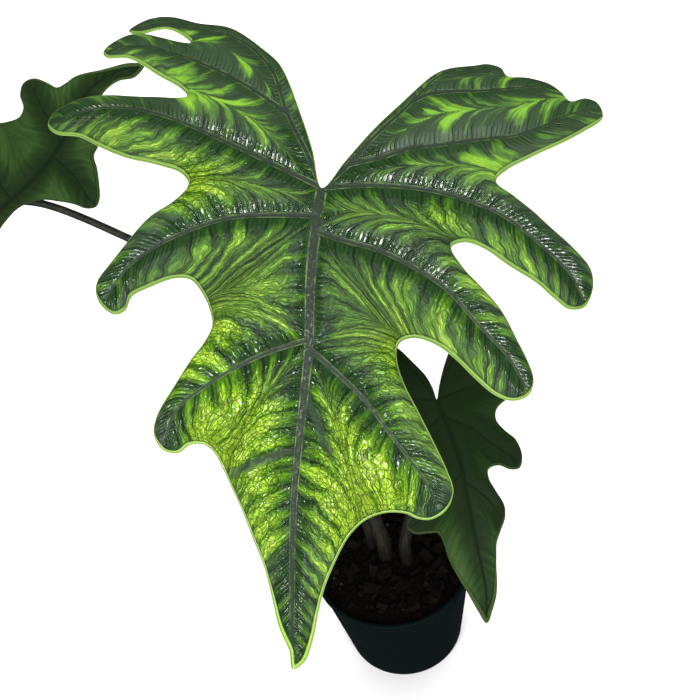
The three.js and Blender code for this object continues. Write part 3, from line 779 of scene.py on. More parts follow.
FLAME_DEPTH = 1.6
FLAME_END = (20, 45)
TONE_RANGE = (-1.2, 1)
FRINGE_STEP = 0.7
FRINGE_RISE = 0.15
FRINGE_HAIR_SHARE = 0.8
HAIR_THICKNESS = 0.06
HAIR_LENGTH = 1.2
HAIR_LEAN = (0.5, 0.5, 3.0)
HAIR_SIZES = (0.45, 1.1)
LEAN_SEED = 4
SIZE_SEED = 9
ROOT_SEED = 3


class Drawing:
    """A leaf's flat drawing: its outline, its main veins, and what each point lies near."""

    def __init__(self, leaf):
        self.leaf = leaf
        self.outline = curve_through(leaf["outline"], OUTLINE_SPACING, True)
        self.margin = Line(np.vstack([self.outline, self.outline[:1]]))
        self.veins = [Line(curve_through(path, VEIN_SPACING)) for path in (leaf["midrib"], *leaf["veins"])]
        self.sizes = np.array([1.0] + [SIDE_VEIN_SIZE] * len(leaf["veins"]))
        self.lengths = np.array([vein.length for vein in self.veins])
        x, y = self.outline.T
        self.turned = 1.0 if (x * np.roll(y, -1) - y * np.roll(x, -1)).sum() > 0 else -1.0
        self.outward = outward_of(self.outline, self.turned)
        self.branches = self.find_branches()

    def find_branches(self):
        """For each pair of main veins where the second leaves the first: how far along, and on which side."""
        branches = {}
        for own, vein in enumerate(self.veins):
            for other, branch in enumerate(self.veins):
                if other == own:
                    continue
                distance, along, _ = vein.beside(branch.points[:1])
                if distance[0] < BRANCH_REACH:
                    look = branch.points[int(BRANCH_LOOK / VEIN_SPACING)][None]
                    branches[own, other] = (along[0], vein.beside(look)[2][0])
        return branches

    def lattice(self, spacing, seed):
        """Points about spacing apart inside the outline, with rows of them on the main veins."""
        low = self.outline.min(0)
        high = self.outline.max(0)
        ahead = np.roll(self.outline, -1, axis=0)
        rows = []
        for row, y in enumerate(np.arange(low[1], high[1], spacing * ROW_SHARE)):
            crossed = (self.outline[:, 1] > y) != (ahead[:, 1] > y)
            p, q = self.outline[crossed], ahead[crossed]
            cuts = np.sort(p[:, 0] + (q[:, 0] - p[:, 0]) * (y - p[:, 1]) / (q[:, 1] - p[:, 1]))
            x = np.arange(low[0] + (row % 2) * spacing / 2, high[0], spacing)
            x = x[np.searchsorted(cuts, x) % 2 == 1]
            rows.append(np.column_stack([x, np.full(len(x), y)]))
        points = np.vstack(rows)
        jitter = spacing * LATTICE_JITTER
        points += np.random.default_rng(seed).uniform(-jitter, jitter, points.shape)
        off_vein = np.min([vein.beside(points)[0] for vein in self.veins], axis=0)
        paths = (self.leaf["midrib"], *self.leaf["veins"])
        on_vein = np.vstack([curve_through(path, spacing * VEIN_POINT_SHARE)[1:-1] for path in paths])
        points = np.vstack([on_vein, points[off_vein > spacing * VEIN_ROOM_SHARE]])
        return points[self.margin.beside(points)[0] > spacing * MARGIN_ROOM_SHARE]

    def triangulated(self, spacing, seed):
        """Flat points, with the outline's first, and triangles that face up."""
        count = len(self.outline)
        points = np.vstack([self.outline, self.lattice(spacing, seed)])
        border = [list(range(count))]
        found = delaunay_2d_cdt([Vector(p) for p in points], [], border, INSIDE_ONLY, WELD_DISTANCE)
        order = np.full(len(found[0]), -1)
        for place, sources in enumerate(found[3]):
            for source in sources:
                if source < count:
                    order[place] = source
        rest = np.flatnonzero(order < 0)
        order[rest] = count + np.arange(len(rest))
        flat = np.zeros((len(found[0]), 2))
        flat[order] = np.array([tuple(v) for v in found[0]])
        faces = order[np.array(found[2])]
        a, b, c = (flat[faces[:, k]] for k in range(3))
        twice = (b[:, 0] - a[:, 0]) * (c[:, 1] - a[:, 1]) - (b[:, 1] - a[:, 1]) * (c[:, 0] - a[:, 0])
        faces[twice < 0] = faces[twice < 0][:, ::-1]
        return flat, faces[np.abs(twice) > LEAST_AREA]


def closeness(gap, distance, limit):
    """How strongly something gap away pulls on places at a distance from their own main vein."""
    return -np.log(gap / (gap + distance + PULL_SOFTNESS) + limit)


def wave_at(drawing, along):
    """How high the margin waves, where along goes from 0 to 1 around the outline."""
    turns = round(drawing.margin.length / drawing.leaf["wave_length"])
    return drawing.leaf["wave"] * np.sin(along * turns * 2 * np.pi)


class Places:
    """What each flat point of a blade lies near: every main vein, and the margin."""

    def __init__(self, drawing, flat):
        self.drawing = drawing
        found = [vein.beside(flat) for vein in drawing.veins]
        self.distance, self.along, self.side = (np.stack(values) for values in zip(*found))
        for k, vein in enumerate(drawing.veins):
            tip = vein.points[-1]
            ahead = (tip - vein.points[-4]) / np.linalg.norm(tip - vein.points[-4])
            rest = flat - tip
            past = rest @ ahead
            beyond = (self.along[k] > vein.length - 1e-6) & (past > 0)
            turned = np.sign(ahead[0] * rest[:, 1] - ahead[1] * rest[:, 0])
            self.along[k] = np.where(beyond, vein.length + np.minimum(past, BEYOND_TIP), self.along[k])
            self.side[k] = np.where(beyond, turned, self.side[k])
        self.margin, self.margin_along, _ = drawing.margin.beside(flat)
        where = np.append(drawing.margin.walked[:-1], drawing.margin.length)
        tipward = np.append(-drawing.outward[:, 1], -drawing.outward[0, 1])
        self.tipward = np.interp(self.margin_along, where, tipward)

    def tapered(self, own, rows):
        """How much of its foot's width each point's own main vein has beside it."""
        return 1 - VEIN_TAPER * np.clip(self.along[own, rows] / self.drawing.lengths[own], 0, 1)

    def beside(self, own, side, rows):
        """Place among the side veins of each point's own main vein.

        Side veins leave their main vein squarely, and bend outwards between the lobes and along the margin.
        """
        distance = self.distance[own, rows]
        along = self.along[own, rows]
        margin = self.margin[rows]
        bend = SIDE_LEAN + MARGIN_PULL * closeness(margin, distance, MARGIN_PULL_LIMIT)
        bend = bend + TIP_LEAN * smooth(*TIP_LEAN_REACH, along / self.drawing.lengths[own])
        for other in range(len(self.distance)):
            gap = np.maximum(self.distance[other, rows] - distance, 0)
            pull = np.maximum(closeness(gap, distance, SIDE_PULL_LIMIT) - SIDE_PULL_START, 0)
            outward = np.ones(len(rows))
            for (first, second), (junction, branch_side) in self.drawing.branches.items():
                if second == other:
                    here = own == first
                    outward[here & (along < junction)] = -1
                    outward[here & (side != branch_side)] = 0
            pull[own == other] = 0
            bend = bend + SIDE_PULL * pull * outward
        step = self.drawing.leaf["vein_step"]
        return (along - bend * distance) / step + 0.5 * (side > 0), distance


def relief(places, settings, fine):
    """How high the upper face lies over the sheet, and how thick the blade is."""
    drawing = places.drawing
    leaf = drawing.leaf
    rows = np.arange(places.distance.shape[1])
    own = places.distance.argmin(0)
    distance = places.distance[own, rows]
    second = np.partition(places.distance, 1, axis=0)[1]
    margin = places.margin
    swell = leaf["pleat"] * np.tanh(distance / PLEAT_REACH) * (1 - np.exp(-margin / PLEAT_EDGE))
    wave = wave_at(drawing, places.margin_along / drawing.margin.length) * np.exp(-margin / WAVE_REACH)
    vein_size = drawing.sizes[own] * places.tapered(own, rows)
    width = leaf["rib_width"] * vein_size
    sheet = BLADE_EDGE + (BLADE_THICKNESS - BLADE_EDGE) * (1 - np.exp(-margin / EDGE_TAPER))
    rib = leaf["rib_height"] * vein_size * np.maximum(0, 1 - (distance / width) ** 2)
    rank, _ = places.beside(own, places.side[own, rows], rows)
    calm = smooth(*CALM_BY_MARGIN, margin) * smooth(*CALM_BY_SEAM, second - distance)
    between = 1 - np.abs(2 * (rank - np.floor(rank)) - 1) ** PUCKER_POWER
    pucker = settings.pucker / MM * (leaf["vein_step"] / LEAVES["main"]["vein_step"])
    top = swell + wave + pucker * between * smooth(*PUCKER_START, distance) * calm
    if fine:
        ridge = np.maximum(0, 1 - (distance / (RIDGE_SHARE * width)) ** 2)
        top = top + settings.ridge / MM * vein_size * ridge * smooth(*RIDGE_BY_MARGIN, margin)
    return top, sheet + rib


def corner_maps(places, triangles, flat):
    """For each corner, its place among the side veins, by the margin and main vein, and on the drawing."""
    drawing = places.drawing
    total = sum(places.distance[:, triangles[:, k]] for k in range(3))
    cell = total.argmin(0)
    signed = sum((places.side * places.distance)[cell, triangles[:, k]] for k in range(3))
    own = np.repeat(cell, 3)
    side = np.repeat(np.sign(signed), 3)
    corner = triangles.ravel()
    rank, distance = places.beside(own, side, corner)
    rank = rank + own * CELL_RANKS + SIDE_RANKS * (side > 0)
    core = CORE_SHARE * drawing.leaf["rib_width"] * drawing.sizes[own] ** 2 * places.tapered(own, corner)
    down = flat[corner, 1] / drawing.outline[:, 1].min()
    rim = RIM_WIDTH + RIM_TIPWARD * smooth(*TIPWARD_RANGE, places.tipward[corner])
    rim = rim + RIM_TIP * smooth(*TIP_RANGE, down)
    return (
        np.stack([rank, distance / MM_PER_CM], 1),
        np.stack([places.margin[corner] / rim, distance / core], 1),
        flat[corner] / MM_PER_CM,
    )


def blade_mesh(side, settings):
    """A blade: a fine upper face, a coarser lower face and a rounded edge, with the maps for its finish."""
    leaf = LEAVES[side]
    drawing = Drawing(leaf)
    count = len(drawing.outline)
    grain = settings.grain / MM * 1
    lifted, faces, maps, tones_and_painted_light = [], [], [], []
    for spacing, fine, seed in ((grain, True, UPPER_SEED), (grain * UNDER_GRAIN_SHARE, False, LOWER_SEED)):
        flat, triangles = drawing.triangulated(spacing, seed)
        places = Places(drawing, flat)
        top, thickness = relief(places, settings, fine)
        lifted.append(blade_point(leaf, flat, top if fine else top - thickness))
        if not fine:
            triangles = triangles[:, ::-1]
        faces.append(triangles)
        maps.append(corner_maps(places, triangles, flat))
        tones_and_painted_light.append(tone_and_painted_light_at(leaf, flat))
    start = np.cumsum([0, len(lifted[0]), len(lifted[1])])
    pushed = blade_point(leaf, drawing.outline + drawing.outward * EDGE_BULGE, np.zeros(count))
    middle = (lifted[0][:count] + lifted[1][:count]) / 2 + pushed
    lifted.append(middle - blade_point(leaf, drawing.outline, np.zeros(count)))
    tones_and_painted_light.append(tones_and_painted_light[0][:count])
    i = np.arange(count)
    j = (i + 1) % count
    strips = []
    for above, below in ((start[0], start[2]), (start[2], start[1])):
        strips.append(np.stack([above + i, below + i, above + j], 1))
        strips.append(np.stack([above + j, below + i, below + j], 1))
    edge = np.vstack(strips)
    if drawing.turned < 0:
        edge = edge[:, ::-1]
    outline_place = edge.ravel() - start[np.searchsorted(start, edge.ravel(), side="right") - 1]
    on_flat = drawing.outline[outline_place] / MM_PER_CM
    far = np.zeros_like(on_flat)
    far[:, 1] = EDGE_DISTANCE
    maps.append((far / MM_PER_CM, far, on_flat))
    triangles = np.vstack([faces[0], faces[1] + start[1], edge])
    mesh = bpy.data.meshes.new(f"{side}_leaf_blade")
    mesh.from_pydata((np.vstack(lifted) * MM).tolist(), [], triangles.tolist())
    mesh.polygons.foreach_set("use_smooth", np.ones(len(triangles), bool))
    material = np.zeros(len(triangles), np.int32)
    material[len(faces[0]):len(faces[0]) + len(faces[1])] = 1
    mesh.polygons.foreach_set("material_index", material)
    for name, values in zip(("veins", "margin", "flat"), zip(*maps)):
        layer = mesh.uv_layers.new(name=name)
        layer.uv.foreach_set("vector", np.vstack(values).astype(np.float32).ravel())
    # The tone, which holds painted light and shade as well as the leaf's own paler and darker areas
    tone = mesh.attributes.new("tone", "FLOAT", "POINT")
    tone.data.foreach_set("value", np.concatenate(tones_and_painted_light).astype(np.float32))
    mesh.update()
    return mesh


def tone_and_painted_light_at(leaf, flat):
    """How much lighter than common the blade is at each flat point, from its patches: the leaf's own paler
    and darker areas, and painted light and shade.
    """
    tone = np.zeros(len(flat))
    for x, y, reach, strength in leaf["tone_and_painted_light_patches"]:
        tone += strength * np.exp(-((flat[:, 0] - x) ** 2 + (flat[:, 1] - y) ** 2) / reach**2)
    for path in leaf.get("flames", ()):
        distance, along, _ = Line(curve_through(path, VEIN_SPACING)).beside(flat)
        narrow = np.exp(-((distance / FLAME_WIDTH) ** 2))
        tone -= FLAME_DEPTH * narrow * (1 - smooth(*FLAME_END, along))
    return np.clip(tone, *TONE_RANGE)


def fringe_mesh(side, stalks, material):
    """Fine hairs along the edge of a blade."""
    leaf = LEAVES[side]
    drawing = Drawing(leaf)
    points = curve_through(leaf["outline"], FRINGE_STEP, True)
    along = np.linspace(0, 1, len(points), endpoint=False)
    lift = wave_at(drawing, along) - BLADE_EDGE / 2
    roots = blade_point(leaf, points, lift)
    tips = blade_point(leaf, points + outward_of(points, drawing.turned), lift + FRINGE_RISE)
    mesh = points_mesh("fringe", roots * MM, direction=tips - roots)
    growth = Growth(f"{side}_fringe")
    direction = growth.named("direction", "FLOAT_VECTOR")
    rotation = growth.node("FunctionNodeAlignRotationToVector", {"Vector": direction}, axis="Z")
    length = growth.number("Hair Length", stalks.hair * FRINGE_HAIR_SHARE)
    return growth.made_from(hairs_on(growth, growth.source, rotation, length), material, mesh)


def hairs_on(growth, points, rotation, length):
    """Slim three-sided hairs that stand on points."""
    inputs = {"Vertices": 3, "Radius Top": 0.0, "Radius Bottom": HAIR_THICKNESS, "Depth": HAIR_LENGTH}
    cone = growth.node("GeometryNodeMeshCone", inputs, fill_type="NONE")
    lean = growth.rotation(growth.random(tuple(-part for part in HAIR_LEAN), HAIR_LEAN, LEAN_SEED))
    rotation = growth.node("FunctionNodeRotateRotation", (rotation, lean), rotation_space="LOCAL")
    return growth.instances(points, cone, rotation, growth.random(*HAIR_SIZES, SIZE_SEED) * length)


# The finish of a leaf. Its maps give rank, which counts one for each side vein, distance from the main vein
# and places on the drawing in centimetres, margin in widths of the rim, and girth in widths of the main vein.
BAND_DARKNESS = 0.75
TONE_AND_PAINTED_LIGHT_STRENGTH = 0.6
LINE_STRENGTH = 0.75
CREASE_STRENGTH = 0.7
VEIN_HIGHLIGHT_STRENGTH = 0.3
CRACKLE_HEIGHT = 0.5
SIDE_VEIN_DEPTH = 0.7
ROLL_HEIGHT = 1.2
STRAND_HEIGHT = 0.3
DULLNESS = 0.58
LIME_SHINE = 0.65
DARK_SHINE = 0.06
LEAF_COLOURS = ("bright", "lime", "green", "band", "line", "core", "margin")
UNDERSIDE_COLOURS = ("under", "under_vein")


def leaf_finish(name, colours, pattern, cell, gloss, shine):
    """The upper face: dark flames over lime, fine dark veins, a net of cells, and a pale rolled margin."""
    bright, lime, green, band, line, core, rim = colours
    f = Finish(name)
    rank, distance, _ = f.split(f.map("veins"))
    margin, girth, _ = f.split(f.map("margin"))
    flat = f.map("flat")
    across, up, _ = f.split(flat)
    # The tone holds the leaf's own paler and darker areas, and also painted sheen and shade.
    tone = f.attribute("tone")
    wander = f.swing(f.noise(flat, 0.9, 1), 0.45)
    shake = f.swing(f.noise(flat, 2.6, 2), 0.25)
    rank = (wander + shake) * f.ramp(distance, 0.15, 1.3) + rank
    apart = f.apart(rank)
    # Everything is calmer on the rear lobes, and in the darkest patches.
    calm = f.ramp(across * 0.12 + up, 1.7, 3.4, 1.0, 0.12) * f.ramp(tone, -1.0, -0.5, 0.15, 1.0)
    # Bright ground is open, and cracked into cells.
    clear = f.ramp(tone, 0.15, 0.6) * f.ramp(distance, 0.4, 1.1)
    crackle = f.cells(f.vector("ADD", flat, f.join(shake, wander)), 2.3)
    # Dark flames run out from the main veins with the side veins.
    streak = f.swing(f.noise(f.join(rank * 1.05, distance * 0.33), 1.0, 3, 0.6), -1.8)
    streak = streak * f.ramp(calm, 0.0, 1.0, 1.35, 0.85) * f.ramp(clear, 0.0, 1.0, 1.0, 0.9)
    speck = f.swing(f.noise(f.join(rank * 4.5, distance * 2.0), 1.0, 2, 0.6), 0.4)
    speck = speck * f.ramp(clear, 0.0, 1.0, 1.0, 0.7)
    comb = f.swing(apart, -0.25)
    blotch = f.swing(f.noise(flat, 0.85, 3, 0.6), -2.2)
    varied = blotch * f.ramp(calm, 0.0, 1.0, 0.3, 0.1) + streak
    varied = (comb + speck) * f.highest(calm, 0.35) + varied
    dark = varied * pattern + f.ramp(distance, 0.1, 1.4, BAND_DARKNESS, 0.0)
    dark = dark + 0.06 - tone * TONE_AND_PAINTED_LIGHT_STRENGTH - clear * 0.05
    # Painted shade: little of the palest lime where calm is low, on the rear lobes and in the darkest
    # patches.
    shade = f.mix(f.fade(dark, -0.65, -0.2) * calm, lime, bright)
    shade = f.mix(f.ramp(dark, -0.3, 0.2), shade, green)
    shade = f.mix(f.ramp(dark, 0.1, 0.65), shade, band)
    # Side veins, the smaller ones between them, and a net of cells
    side_line = f.fade(apart, 0.03, 0.17) * f.ramp(distance, 0.2, 2.6, 1.0, 0.55)
    ripple = f.apart(rank * RIPPLES_PER_STEP)
    gaps = f.noise(f.join(rank * 2.0, distance), 1.3, 2)
    small_line = f.fade(ripple, 0.1, 0.42) * f.ramp(gaps, 0.36, 0.62)
    net = f.cells(f.join(rank * 4.2, distance * 2.6), 1.0)
    net_line = f.ramp(net, 0.02, 0.16, 0.6, 0.0) * f.ramp(clear, 0.0, 1.0, 1.0, 0.3)
    crack_line = clear * f.ramp(crackle, 0.01, 0.08, 0.9, 0.0)
    lines = f.highest(side_line, small_line, net_line, crack_line) * calm
    ring = f.fade(f.apart(margin * 0.9), 0.1, 0.6) * f.ramp(tone, -0.9, -0.4, 0.8, 0.0)
    shade = f.mix(f.highest(lines, ring) * (LINE_STRENGTH * pattern), shade, line)
    # Main veins, with a pale edge here and there that is a painted highlight, and the margin
    on_vein = f.fade(girth, 0.8, 1.1)
    shade = f.mix(on_vein * f.ramp(f.noise(flat, 7.0, 2), 0.35, 0.65, 1.0, 0.75), shade, core)
    # Painted highlight: a pale edge along the main veins, in the margin's colour.
    border = f.ramp(girth, 0.7, 0.9) * f.fade(girth, 0.95, 1.2)
    border = border * f.ramp(f.noise(flat, 1.6, 3), 0.4, 0.65, 0.0, VEIN_HIGHLIGHT_STRENGTH)
    shade = f.mix(border * pattern, shade, rim)
    crease = f.ramp(margin, 0.9, 1.1) * f.fade(margin, 1.15, 1.6)
    shade = f.mix(crease * CREASE_STRENGTH, shade, line)
    # Painted shade: the margin is mixed halfway to green above the lower part, and stays pale towards the
    # tip.
    rim_with_painted_shade = f.mix(f.ramp(up, -12.0, -5.0, 0.0, 0.5), rim, green)
    shade = f.mix(f.fade(margin, 0.75, 0.95), shade, rim_with_painted_shade)
    # Ribs stand beside the main veins, cells swell between the fine ones, and the margin rolls up.
    rib = f.ramp(ripple, 0.0, 0.6) * f.ramp(f.noise(flat, 0.8, 2), 0.36, 0.56, 0.4, 1.0)
    beside = f.ramp(distance, 0.05, 0.2) * f.ramp(distance, 0.35, 0.85, 0.62, 0.12)
    swell = f.ramp(distance, 0.3, 1.0, 0.1, 1.0) * f.ramp(tone, -0.2, 0.5, 0.3, 2.0)
    height = rib * beside + f.ramp(net, 0.02, 0.22) * swell
    height = height + f.ramp(crackle, 0.0, 0.1) * clear * CRACKLE_HEIGHT - side_line * SIDE_VEIN_DEPTH
    height = height * f.ramp(girth, 0.9, 1.5) * f.ramp(margin, 0.9, 1.6)
    height = height * f.highest(calm, f.ramp(distance, 0.5, 1.2, 0.55, 0.12))
    roll = f.ramp(margin, 0.0, 0.45) * f.fade(margin, 0.5, 1.05)
    strand = f.noise(f.join(rank * 5.0, girth * 1.5), 1.0, 2)
    height = height + roll * ROLL_HEIGHT + strand * on_vein * STRAND_HEIGHT
    # Dark ground, the rear lobes and the main veins are duller, but for some shiny lines on the main veins.
    dull = tone * -1.2 + f.ramp(distance, 0.4, 0.9)
    dull = f.math("ADD", dull, f.ramp(calm, 0.3, 1.0, 0.5, 0.0), clamp=True)
    satin = f.ramp(strand, 0.5, 0.62, 1.0, 0.3) * f.fade(girth, 1.1, 1.7)
    rough = f.highest(dull, satin) * DULLNESS + gloss
    bump = f.bump(height, cell * pattern**2, 1.0)
    return f.set(Base_Color=shade, Roughness=rough, Normal=bump, Specular_IOR_Level=shine)


def underside_finish(name, ground, vein):
    """The lower face: a paler, duller green with darker veins."""
    f = Finish(name)
    rank, distance, _ = f.split(f.map("veins"))
    _, girth, _ = f.split(f.map("margin"))
    flat = f.map("flat")
    rank = f.noise(flat, 0.9, 1) * 0.8 + rank
    side = f.fade(f.apart(rank), 0.05, 0.22)
    net = f.ramp(f.cells(f.join(rank * 5.4, distance * 6.0), 1.0), 0.02, 0.16, 0.45, 0.0)
    shade = f.mix(f.ramp(f.noise(flat, 2.0, 3), 0.3, 0.7, 0.0, 0.35), ground, vein)
    shade = f.mix(f.highest(side, net) * 0.6, shade, vein)
    shade = f.mix(f.fade(girth, 1.4, 2.2), shade, vein)
    return f.set(Base_Color=shade, Roughness=0.6, Normal=f.bump(side * 0.8 + net, 0.0004, 0.8))


# Petioles
PETIOLE_STEP = 1.6
STEPS_PAST_BLADE = 4
JOIN_REACH = 14.0
JOIN_LIFT = 0.4
GROOVE_WIDTH = 0.07
GROOVE_LEAST = 0.15
RIB_COUNT = 9
RIB_DEPTH = 0.012
STREAK_SQUEEZE = 0.06
DARK_FOOT_HEIGHT = 0.03


def petiole_path(side, height, foot):
    """A petiole's spine, past its blade, and the point and the direction of the plane that cuts it."""
    stalk = STALKS[side]
    leaf = LEAVES[side]
    join = np.array([[0.0, -stalk["neck_radius"] * JOIN_SHARE]])
    lifts = (0.0, -BLADE_THICKNESS - leaf["rib_height"])
    face, top = (blade_point(leaf, join, np.array([lift]))[0] for lift in lifts)
    out = (face - top) / np.linalg.norm(face - top)
    straight = [(*stalk["foot"], z) for z in (foot, (foot + height) / 2, height, height + STEM_RISE)]
    path = curve_through([*straight, *stalk["through"], tuple(top)], PETIOLE_STEP)
    heading = path[-1] - path[-2]
    heading /= np.linalg.norm(heading)
    past = path[-1] + heading * np.arange(1, STEPS_PAST_BLADE + 1)[:, None] * PETIOLE_STEP
    return np.vstack([path, past]), heading, top + out * JOIN_LIFT, out


def petiole_mesh(side, settings, material):
    """A tube along a petiole's spine, grooved in its sheath, with fine hairs, and cut flush in its blade."""
    stalk = STALKS[side]
    height = bpy.context.scene.alocasia.pot.height / MM
    foot = height - SOIL_DEPTH + SOIL_MOUND - STEM_HOLE_DEPTH + GAP
    path, heading, cut, out = petiole_path(side, height, foot)
    growth = Growth(f"{side}_petiole")
    foot_radius = growth.number("Foot Radius", stalk["foot_radius"] * MM)
    neck_radius = growth.number("Neck Radius", stalk["neck_radius"] * MM)
    sheath = growth.number("Sheath Length", stalk["sheath"] * MM)
    groove = growth.number("Groove Depth", settings.groove)
    face_point = growth.direction("Blade Point", cut * MM)
    face_normal = growth.direction("Blade Normal", out)
    final = growth.direction("Blade Approach", heading)
    # The spine, which is thick at its foot and slimmer with the length walked above the rim of the pot
    points = growth.node("GeometryNodeMeshToPoints", (growth.source,))
    inputs = {"Points": points, "Weight": growth.node("GeometryNodeInputIndex")}
    spine = growth.node("GeometryNodePointsToCurves", inputs)
    walked = growth.node("GeometryNodeSplineParameter", out="Length")
    thick = growth.bell(growth.highest(walked - (height - foot) * MM, 0.0) / sheath)
    radius = growth.math("MULTIPLY_ADD", foot_radius - neck_radius, thick, neck_radius)
    spine = growth.stored(spine, "sheath", thick)
    turn = growth.node("GeometryNodeSplineParameter", out="Factor")
    ring = growth.stored(growth.circle(settings.sides, 1.0), "turn", turn)
    inputs = {"Curve": spine, "Profile Curve": ring, "Scale": radius, "Fill Caps": True}
    tube = growth.node("GeometryNodeCurveToMesh", inputs)
    # The groove, and fine lengthwise ribs
    around = growth.named("turn")
    hollow = growth.bell((around - 0.5) / GROOVE_WIDTH)
    ribs = growth.math("COSINE", around * (RIB_COUNT * 2 * math.pi)) * RIB_DEPTH
    rise = (ribs - hollow * groove * (growth.named("sheath") + GROOVE_LEAST)) * foot_radius
    tube = growth.moved(tube, growth.scaled(growth.node("GeometryNodeInputNormal"), rise))
    # What passes the plane inside the blade, near the join, is drawn back onto it.
    place = growth.position()
    away = growth.vector("DISTANCE", place, face_point, out="Value")
    near = growth.math("LESS_THAN", away, JOIN_REACH * MM)
    over = growth.highest(growth.dot(growth.vector("SUBTRACT", place, face_point), face_normal), 0.0)
    back = over * near / growth.dot(final, face_normal) * -1.0
    tube = growth.smoothed(growth.moved(tube, growth.scaled(final, back)))
    hair_length = growth.number("Hair Length", settings.hair)
    hair_count = growth.number("Hair Density", settings.hair_count * CM2_PER_M2)
    roots = growth.scattered(tube, hair_count, ROOT_SEED)
    hairs = hairs_on(growth, roots, roots.other("Rotation"), hair_length)
    return growth.made_from(growth.joined(tube, hairs), material, points_mesh("spine", path * MM))


def petiole_finish(settings):
    """Dark brown stalks, paler and streaked in the sheath, with fine raised dots."""
    f = Finish("dark_petiole")
    place = f.place()
    long = f.node("ShaderNodeMapping", {"Vector": place, "Scale": (1, 1, STREAK_SQUEEZE)})
    streak = f.noise(long, 700.0, 3)
    spots = f.noise(place, 520.0, 3, 0.6)
    sheath = f.ramp(f.attribute("sheath"), 0.35, 0.9)
    stalk = f.mix(f.ramp(spots, 0.42, 0.66), settings.stalk, settings.stalk_pale)
    foot = f.mix(f.ramp(streak, 0.35, 0.7), settings.sheath, settings.sheath_pale)
    ground = bpy.context.scene.alocasia.pot.height - SOIL_DEPTH * MM
    low = f.ramp(f.split(place)[2], ground, ground + DARK_FOOT_HEIGHT, 0.85, 0.0)
    shade = f.mix(low, f.mix(sheath, stalk, foot), settings.sheath_dark)
    bump = f.bump((1.0 - sheath) * spots + streak * 0.6, 0.0003, 0.8)
    return f.set(Base_Color=shade, Roughness=0.55, Normal=bump, Specular_IOR_Level=0.3)


# The pot
def turned_mesh(name, profile, sides):
    """A closed mesh turned about Z from points of radius and height, which start and end on the axis."""
    angles = np.arange(sides) * 2 * math.pi / sides
    vertices, faces, starts = [], [], []
    for radius, z in profile:
        starts.append(len(vertices))
        if radius <= 0:
            vertices.append((0, 0, z))
        else:
            vertices.extend((radius * math.cos(a), radius * math.sin(a), z) for a in angles)
    for (r0, _), (r1, _), low, high in zip(profile, profile[1:], starts, starts[1:]):
        for k in range(sides):
            n = (k + 1) % sides
            if r0 <= 0:
                faces.append((low, high + n, high + k))
            elif r1 <= 0:
                faces.append((low + k, low + n, high))
            else:
                faces.append((low + k, low + n, high + n, high + k))
    mesh = bpy.data.meshes.new(name)
    mesh.from_pydata(vertices, [], faces)
    return mesh


def wall_radius(pot, z):
    """The pot's outer radius at height z, in metres."""
    return pot.base_radius + (pot.top_radius - LIP_WIDTH * MM - pot.base_radius) * z / pot.height


def rounded(corners, radius, steps=4):
    """The corners of a profile, each but the first and last rounded off to about radius."""
    p = np.array(corners, float)
    out = [tuple(p[0])]
    for a, b, c in zip(p, p[1:], p[2:]):
        back = (a - b) / np.linalg.norm(a - b)
        ahead = (c - b) / np.linalg.norm(c - b)
        reach = min(radius, *(ROUNDING_LIMIT * np.linalg.norm(side) for side in (a - b, c - b)))
        for t in np.linspace(0, 1, steps + 1):
            out.append(tuple(b + back * reach * (1 - t) ** 2 + ahead * reach * t**2))
    return out + [tuple(p[-1])]


def pot_mesh(pot):
    """The pot: a turned cup with a rounded lip, and a ring of drain holes in its floor."""
    lip_foot = pot.height - LIP_HEIGHT * MM
    profile = rounded([
        (0, BASE_HOLLOW * MM), (pot.base_radius * 0.8, BASE_HOLLOW * MM), (pot.base_radius * 0.84, 0),
        (pot.base_radius - BASE_CHAMFER * MM, 0),
        (wall_radius(pot, BASE_CHAMFER * MM), BASE_CHAMFER * MM),
        (wall_radius(pot, lip_foot), lip_foot),
        (pot.top_radius, lip_foot + LIP_WIDTH * MM),
        (pot.top_radius, pot.height - LIP_ROUNDING * MM),
        (pot.top_radius - LIP_ROUNDING * MM, pot.height),
        (wall_radius(pot, pot.height) - pot.wall, pot.height),
        (wall_radius(pot, pot.floor) - pot.wall, pot.floor),
        (0, pot.floor),
    ], CORNER_ROUNDING * MM)
    mesh = turned_mesh("pot", profile, pot.sides)
    growth = Growth("pot_drains")
    circle = growth.number("Drain Circle", DRAIN_CIRCLE * MM)
    radius = growth.number("Drain Radius", DRAIN_RADIUS * MM)
    ring = growth.circle(DRAIN_COUNT, circle)
    inputs = {"Vertices": DRAIN_SIDES, "Radius": radius, "Depth": pot.floor * 4}
    drills = growth.real(growth.instances(ring, growth.node("GeometryNodeMeshCylinder", inputs)))
    inputs = {"Mesh 1": growth.source, "Mesh 2": drills}
    cut = growth.node("GeometryNodeMeshBoolean", inputs, operation="DIFFERENCE")
    result = growth.made_from(growth.smoothed(cut), pot_finish(pot), mesh)
    result.set_sharp_from_angle(angle=math.radians(SHARP_ANGLE))
    return result


def pot_finish(pot):
    """Dark slate plastic with a fine grain, faint scuffs and dust near its foot."""
    f = Finish("dark_slate_plastic")
    place = f.place()
    height = f.split(place)[2]
    cloud = f.noise(place, 60.0, 4, 0.6)
    dust = f.noise(place, 900.0, 2)
    low = f.ramp(height, 0.0, pot.height * 0.35, 0.5, 0.0)
    shade = f.mix(f.ramp(cloud, 0.45, 0.75) * 0.35 + low * dust, pot.plastic, pot.worn)
    rough = f.ramp(cloud, 0.3, 0.7, 0.5, 0.62)
    bump = f.bump(dust, 0.00015, 0.5)
    return f.set(Base_Color=shade, Roughness=rough, Normal=bump, Specular_IOR_Level=0.06)


# The soil
def draw(index, channel):
    """A number from 0 to 1 that looks random and is the same in every run."""
    value = math.sin(index * 12.9898 + channel * 78.233 + 4.1) * 43758.5453
    return value - math.floor(value)


